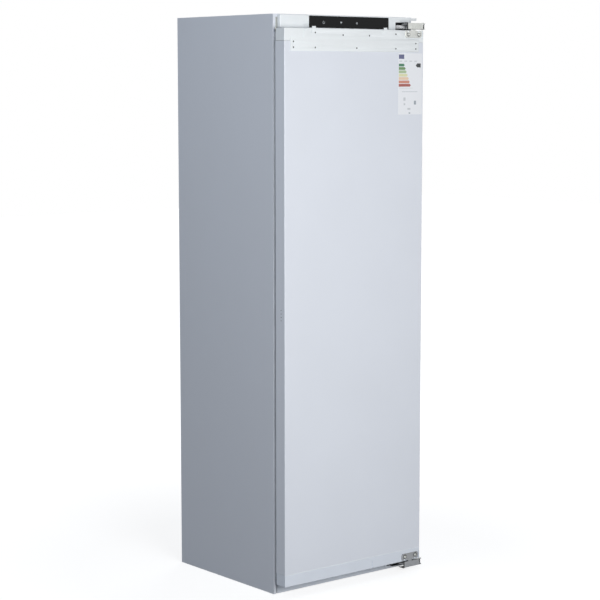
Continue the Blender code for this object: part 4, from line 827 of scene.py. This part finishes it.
class FRIDGE_OT_door_bead_and_hole_shade(bpy.types.Operator):
    """Adds the bead along the door's bottom cap, and black discs in the holes in the door's side as painted shade
    """
    bl_idname = "fridge.door_trims"
    bl_label = "Door bead and hole shade"

    def execute(self, context):
        low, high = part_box("door_skin")
        bead = box_mesh((low.x, DOOR_FRONT - 0.5 * MM, low.z - 0.5 * MM),
                        (high.x, DOOR_FRONT + 0.6 * MM, low.z + 0.5 * MM), 0.35 * MM, 3)
        parts = [(0, bead)]
        # black discs in the side's holes: painted shade
        for z in SIDE_MARKS:
            spot = (low.x + 0.45 * MM, CABINET_FRONT - 0.0385, z)
            parts.append((1, disc_mesh(1.6, 0, 0.15, spot, (-1, 0, 0), 20)))
        place("door_trims", parts, "door", ["white_moulding", "black_plastic"])
        return {"FINISHED"}


class FRIDGE_OT_plinth_marks(bpy.types.Operator):
    """Adds the plinth's moulded fixing points"""
    bl_idname = "fridge.plinth_marks"
    bl_label = "Plinth fixing points"

    def execute(self, context):
        spots = [((x, CABINET_FRONT - 0.05 * MM, 0.0255), (0, -1, 0)) for x in (-0.135, -0.0635)]
        fasteners("plinth_screws", "cabinet", spots, 3.4 * MM, 0.25 * MM, "black_plastic")
        return {"FINISHED"}


class FRIDGE_OT_condenser_grid(bpy.types.Operator):
    """Welds the upright wires and brackets to the condenser's serpentine"""
    bl_idname = "fridge.condenser_grid"
    bl_label = "Condenser wires"

    def execute(self, context):
        low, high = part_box("condenser")
        count = context.scene.fridge_sizes.grid_wires
        left = -0.205
        pitch = 2 * -left / (count - 1)
        line = high.y - 0.9 * MM
        wire = tube_mesh([(left, line, low.z), (left, line, high.z)], 0.7 * MM, 1, False)
        wires = row(wire, count, (pitch, 0, 0), "black_enamel")
        place("condenser_wires", wires, "cabinet", ["black_enamel"], corner=60.0)
        brackets = []
        for x in (-0.215, 0.215):
            for z in (0.50, 1.45):
                # the foot on the back panel, and the arm that reaches out to the wires
                for near, far, bottom, height in ((26, 24.6, 0, 26), (25, 6, 10, 1.5)):
                    corner = Vector((x - 6 * MM, high.y - near * MM, z + bottom * MM))
                    size = Vector((12 * MM, (near - far) * MM, height * MM))
                    brackets.append(box_mesh(corner, corner + size, 0.4 * MM))
        place("condenser_brackets", brackets, "cabinet", ["black_enamel"])
        return {"FINISHED"}


class FRIDGE_OT_refrigerant_lines(bpy.types.Operator):
    """Runs the copper lines and the filter drier through the machine space, and clips the relay on"""
    bl_idname = "fridge.refrigerant_lines"
    bl_label = "Refrigerant lines"

    def execute(self, context):
        low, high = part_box("compressor")
        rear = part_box("condenser")[1].y - 4 * MM

        def by_compressor(x, y, z):
            return (low.x + high.x) / 2 + x, (low.y + high.y) / 2 + y, z

        # the outside radius of each tube in millimetres, and the points that it runs through
        lines = [
            (2.4, [by_compressor(0.070, 0.030, 0.075), by_compressor(0.104, 0.046, 0.075),
                   by_compressor(0.104, 0.066, 0.150), (0.200, rear - 4 * MM, 0.210),
                   (0.235, rear - 4 * MM, 0.270), (0.235, rear - 6 * MM, 0.317),
                   (-0.225, rear - 6 * MM, 0.317), (-0.225, rear - 6 * MM, 0.330)]),
            (3.0, [by_compressor(-0.060, 0.040, 0.070), by_compressor(-0.084, 0.052, 0.070),
                   by_compressor(-0.130, 0.052, 0.150), (-0.150, 0.120, 0.228)]),
            (2.6, [by_compressor(0.078, -0.020, 0.090), by_compressor(0.096, -0.030, 0.090),
                   by_compressor(0.096, -0.030, 0.140)]),
            (1.8, [(-0.229, rear - 14 * MM, 0.199), (-0.228, rear - 12 * MM, 0.230),
                   (-0.238, rear - 7 * MM, 0.300), (-0.238, rear - 6 * MM, 0.400)])]
        parts = [tube_mesh(points, radius * MM) for radius, points in lines]
        drier = [(0, -50), (2.2, -50), (2.4, -42), (9, -32), (9, 32), (2.0, 42), (1.6, 50), (0, 50)]
        parts.append(turned_mesh(drier, (-0.235, rear - 14 * MM, 0.150), (0.12, 0, 1), 28))
        place("refrigerant_lines", parts, "cabinet", ["copper"], "zinc_steel", 60.0)
        clip = box_mesh(by_compressor(-0.131, -0.028, 0.094), by_compressor(-0.0945, 0.028, 0.0975), 0.5 * MM)
        place("relay_clip", clip, "cabinet", ["zinc_steel"])
        return {"FINISHED"}


class FRIDGE_OT_back_screws(bpy.types.Operator):
    """Adds the screws along the back panel and the compressor's mount bolts"""
    bl_idname = "fridge.back_screws"
    bl_label = "Back screws"

    def execute(self, context):
        low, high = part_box("back_panel")
        # the rear face of the panel's flat part
        rear = low.y + 0.8 * MM
        count, margin = 8, 0.02
        spots = []
        for side in (-1, 1):
            for index in range(count):
                z = low.z + margin + index * (high.z - low.z - 2 * margin) / (count - 1)
                spots.append(((side * (high.x - 8 * MM), rear, z), (0, 1, 0)))
        for x in (-0.18, -0.06, 0.06, 0.18):
            spots.append(((x, rear, high.z - 10 * MM), (0, 1, 0)))
        fasteners("back_screws", "cabinet", spots, 3.6 * MM, 1.8 * MM)
        left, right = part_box("compressor")
        bolts = []
        for x in (left.x + 13 * MM, right.x - 13 * MM):
            for y in (-0.042, 0.042):
                bolts.append(((x, (left.y + right.y) / 2 + y, 0.0329), (0, 0, 1)))
        fasteners("mount_bolts", "cabinet", bolts, 6.0 * MM, 3.5 * MM, recess=0.35)
        return {"FINISHED"}


class FRIDGE_OT_fan(bpy.types.Operator):
    """Makes the fan's twisted blades and its hub"""
    bl_idname = "fridge.fan"
    bl_label = "Fan"

    def execute(self, context):
        low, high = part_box("fan_rotor")
        centre = (low + high) / 2
        root = 14.5 * MM
        reach = (high.x - low.x) / 2 - 0.4 * MM
        form = bmesh.new()
        rows = []
        for step in range(9):
            # towards its tip the blade gets flatter and wider, and sweeps round
            out = step / 8
            radius = root + (reach - root) * out
            pitch = math.radians(52 - 26 * out)
            chord = 0.010 + 0.010 * out
            line = []
            for along in range(7):
                t = along / 6 - 0.5
                bow = 0.0016 * (1 - 4 * t * t)
                across = chord * t * math.cos(pitch) - bow * math.sin(pitch)
                depth = chord * t * math.sin(pitch) * 0.62 + bow * math.cos(pitch)
                turn = across / radius + 0.05 * out
                line.append(form.verts.new((radius * math.sin(turn), depth, radius * math.cos(turn))))
            rows.append(line)
        for first, second in zip(rows, rows[1:]):
            for index in range(6):
                form.faces.new((first[index], first[index + 1], second[index + 1], second[index]))
        carrier = carry(to_mesh("blade", form))
        wall = carrier.modifiers.new("wall", "SOLIDIFY")
        wall.thickness = 1.2 * MM
        wall.offset = 0
        blades = grown(plain_mesh(carrier), TREES["ring"], count=7, finish=FINISHES["black_plastic"])
        blades.transform(Matrix.Translation(centre))
        hub = [(0, -6), (12, -6), (15.5, -4.6), (16.5, -2.5), (16.5, 5.4), (15, 6), (0, 6)]
        piece = place("fan_blades", [blades, turned_mesh(hub, centre, (0, 1, 0), 40)], "fan", ["black_plastic"])
        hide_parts("fan_rotor")
        return {"FINISHED"}


class FRIDGE_OT_cabin_fittings(bpy.types.Operator):
    """Adds the raised backstops along the rear of the glass shelves"""
    bl_idname = "fridge.cabin_fittings"
    bl_label = "Cabin fittings"

    def execute(self, context):
        parts = []
        for index in range(1, 6):
            low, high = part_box(f"shelf_{index}")
            parts.append(box_mesh((low.x + 4 * MM, high.y - 10 * MM, high.z),
                                  (high.x - 4 * MM, high.y - 1 * MM, high.z + 6 * MM), 1.5 * MM))
        place("shelf_backstops", parts, "cabinet", ["white_moulding"])
        return {"FINISHED"}


class FRIDGE_OT_stage(bpy.types.Operator):
    """Sets out the pale floor, the white surroundings, the soft lamps and the camera"""
    bl_idname = "fridge.stage"
    bl_label = "Studio"

    def execute(self, context):
        scene = context.scene
        scene.view_settings.view_transform = "Standard"
        form = bmesh.new()
        bmesh.ops.create_grid(form, x_segments=1, y_segments=1, size=14.0)
        bmesh.ops.translate(form, vec=(0, 0, -0.0004), verts=form.verts)
        floor = bpy.data.objects.new("floor", to_mesh("floor", form))
        scene.collection.objects.link(floor)
        floor.data.materials.append(floor_finish(scene.fridge_colours.floor))
        light_world(scene)
        add_lamp("key", (-0.9, -3.3, 1.6), (0.0, -0.3, 1.3), 1.8, 94, (1.0, 0.985, 0.96))
        add_lamp("side", (-2.3, -0.2, 2.3), (-0.28, 0, 1.5), 1.0, 13, (0.86, 0.93, 1.0))
        add_lamp("rim", (3.6, 2.8, 3.6), (0, 0, 1.0), 2.4, 60, (1.0, 1.0, 1.0))
        camera_data = bpy.data.cameras.new("camera")
        camera_data.lens = scene.fridge_sizes.lens
        camera_data.sensor_width = 36
        camera_data.clip_end = 60
        camera = bpy.data.objects.new("camera", camera_data)
        scene.collection.objects.link(camera)
        camera.matrix_world = camera_matrix((-3.6369, -4.5130, 1.5690), 39.053, -6.864, -0.019)
        scene.camera = camera
        return {"FINISHED"}


def camera_matrix(place_at, pan, tilt, roll):
    """A camera turned right from +Y by pan and up by tilt, then rolled about its own axis, in degrees."""
    pan, tilt, roll = math.radians(pan), math.radians(tilt), math.radians(roll)
    ahead = Vector((math.sin(pan) * math.cos(tilt), math.cos(pan) * math.cos(tilt), math.sin(tilt)))
    right = Vector((math.cos(pan), -math.sin(pan), 0))
    up = right.cross(ahead)
    right, up = right * math.cos(roll) + up * math.sin(roll), up * math.cos(roll) - right * math.sin(roll)
    turn = Matrix((right, up, -ahead)).transposed().to_4x4()
    return Matrix.Translation(place_at) @ turn


def add_lamp(name, spot, target, size, power, colour):
    data = bpy.data.lights.new(name, "AREA")
    data.color = colour
    data.shape = "SQUARE"
    data.size = size
    data.energy = power
    lamp = bpy.data.objects.new(name, data)
    bpy.context.scene.collection.objects.link(lamp)
    lamp.location = spot
    lamp.rotation_euler = (Vector(target) - Vector(spot)).to_track_quat("-Z", "Y").to_euler()


def seen_directly(tree):
    """1 for camera, glossy and transmission rays, 0 for the rays that light the object."""
    path = add_node(tree, "ShaderNodeLightPath").node.outputs
    first = worked(tree, "MAXIMUM", path["Is Camera Ray"], path["Is Glossy Ray"])
    return worked(tree, "MAXIMUM", first, path["Is Transmission Ray"])


def floor_finish(colour):
    """Matt painted studio floor that fades to the white background but keeps the object's shadow."""
    finish = Finish("Painted studio floor", colour, 0.9, Emission_Color=(1, 1, 1, 1))
    tree = finish.tree
    spot = add_node(tree, "ShaderNodeTexCoord", output="Object")
    away = add_node(tree, "ShaderNodeVectorMath", {0: spot}, "Value", operation="LENGTH")
    # the paint fades into the white background from about a metre round the object
    fade = add_node(tree, "ShaderNodeMapRange", {
        "Value": away, "From Min": 0.7, "From Max": 2.4, "To Min": 0.80, "To Max": 1.0})
    lift = worked(tree, "MULTIPLY", seen_directly(tree), fade)
    tree.links.new(lift, finish.shader.inputs["Emission Strength"])
    return finish.material


def light_world(scene):
    """White behind everything that is seen, and a dim cool light on the object from all round."""
    world = bpy.data.worlds.new("studio")
    world.use_nodes = True
    tree = world.node_tree
    air = mixed(tree, seen_directly(tree), (0.085, 0.10, 0.13, 1), (1, 1, 1, 1))
    tree.links.new(air, tree.nodes["Background"].inputs["Color"])
    scene.world = world


STEPS = (
    FRIDGE_OT_frame_finishes, FRIDGE_OT_pressed_edges, FRIDGE_OT_hinge_screws, FRIDGE_OT_control_symbols,
    FRIDGE_OT_energy_sheet, FRIDGE_OT_plate_hole_shade, FRIDGE_OT_door_seal, FRIDGE_OT_door_bead_and_hole_shade,
    FRIDGE_OT_plinth_marks, FRIDGE_OT_condenser_grid, FRIDGE_OT_refrigerant_lines, FRIDGE_OT_back_screws,
    FRIDGE_OT_fan, FRIDGE_OT_cabin_fittings, FRIDGE_OT_stage,
)


class FRIDGE_PT_panel(bpy.types.Panel):
    """Lists the refrigerator's sizes, colours and steps"""
    bl_idname = "FRIDGE_PT_panel"
    bl_label = "Column refrigerator"
    bl_space_type = "VIEW_3D"
    bl_region_type = "UI"
    bl_category = "Refrigerator"

    def draw(self, context):
        layout = self.layout
        for group in (context.scene.fridge_sizes, context.scene.fridge_colours):
            for name in group.__annotations__:
                layout.prop(group, name)
        for step in STEPS:
            layout.operator(step.bl_idname)


CLASSES = (FridgeColours, FridgeSizes, *STEPS, FRIDGE_PT_panel)


def register():
    for item in CLASSES:
        bpy.utils.register_class(item)
    bpy.types.Scene.fridge_colours = bpy.props.PointerProperty(type=FridgeColours)
    bpy.types.Scene.fridge_sizes = bpy.props.PointerProperty(type=FridgeSizes)


def unregister():
    del bpy.types.Scene.fridge_sizes
    del bpy.types.Scene.fridge_colours
    for item in reversed(CLASSES):
        bpy.utils.unregister_class(item)


def main():
    register()
    for step in STEPS:
        group, name = step.bl_idname.split(".")
        getattr(getattr(bpy.ops, group), name)()


if __name__ == "__main__":
    main()
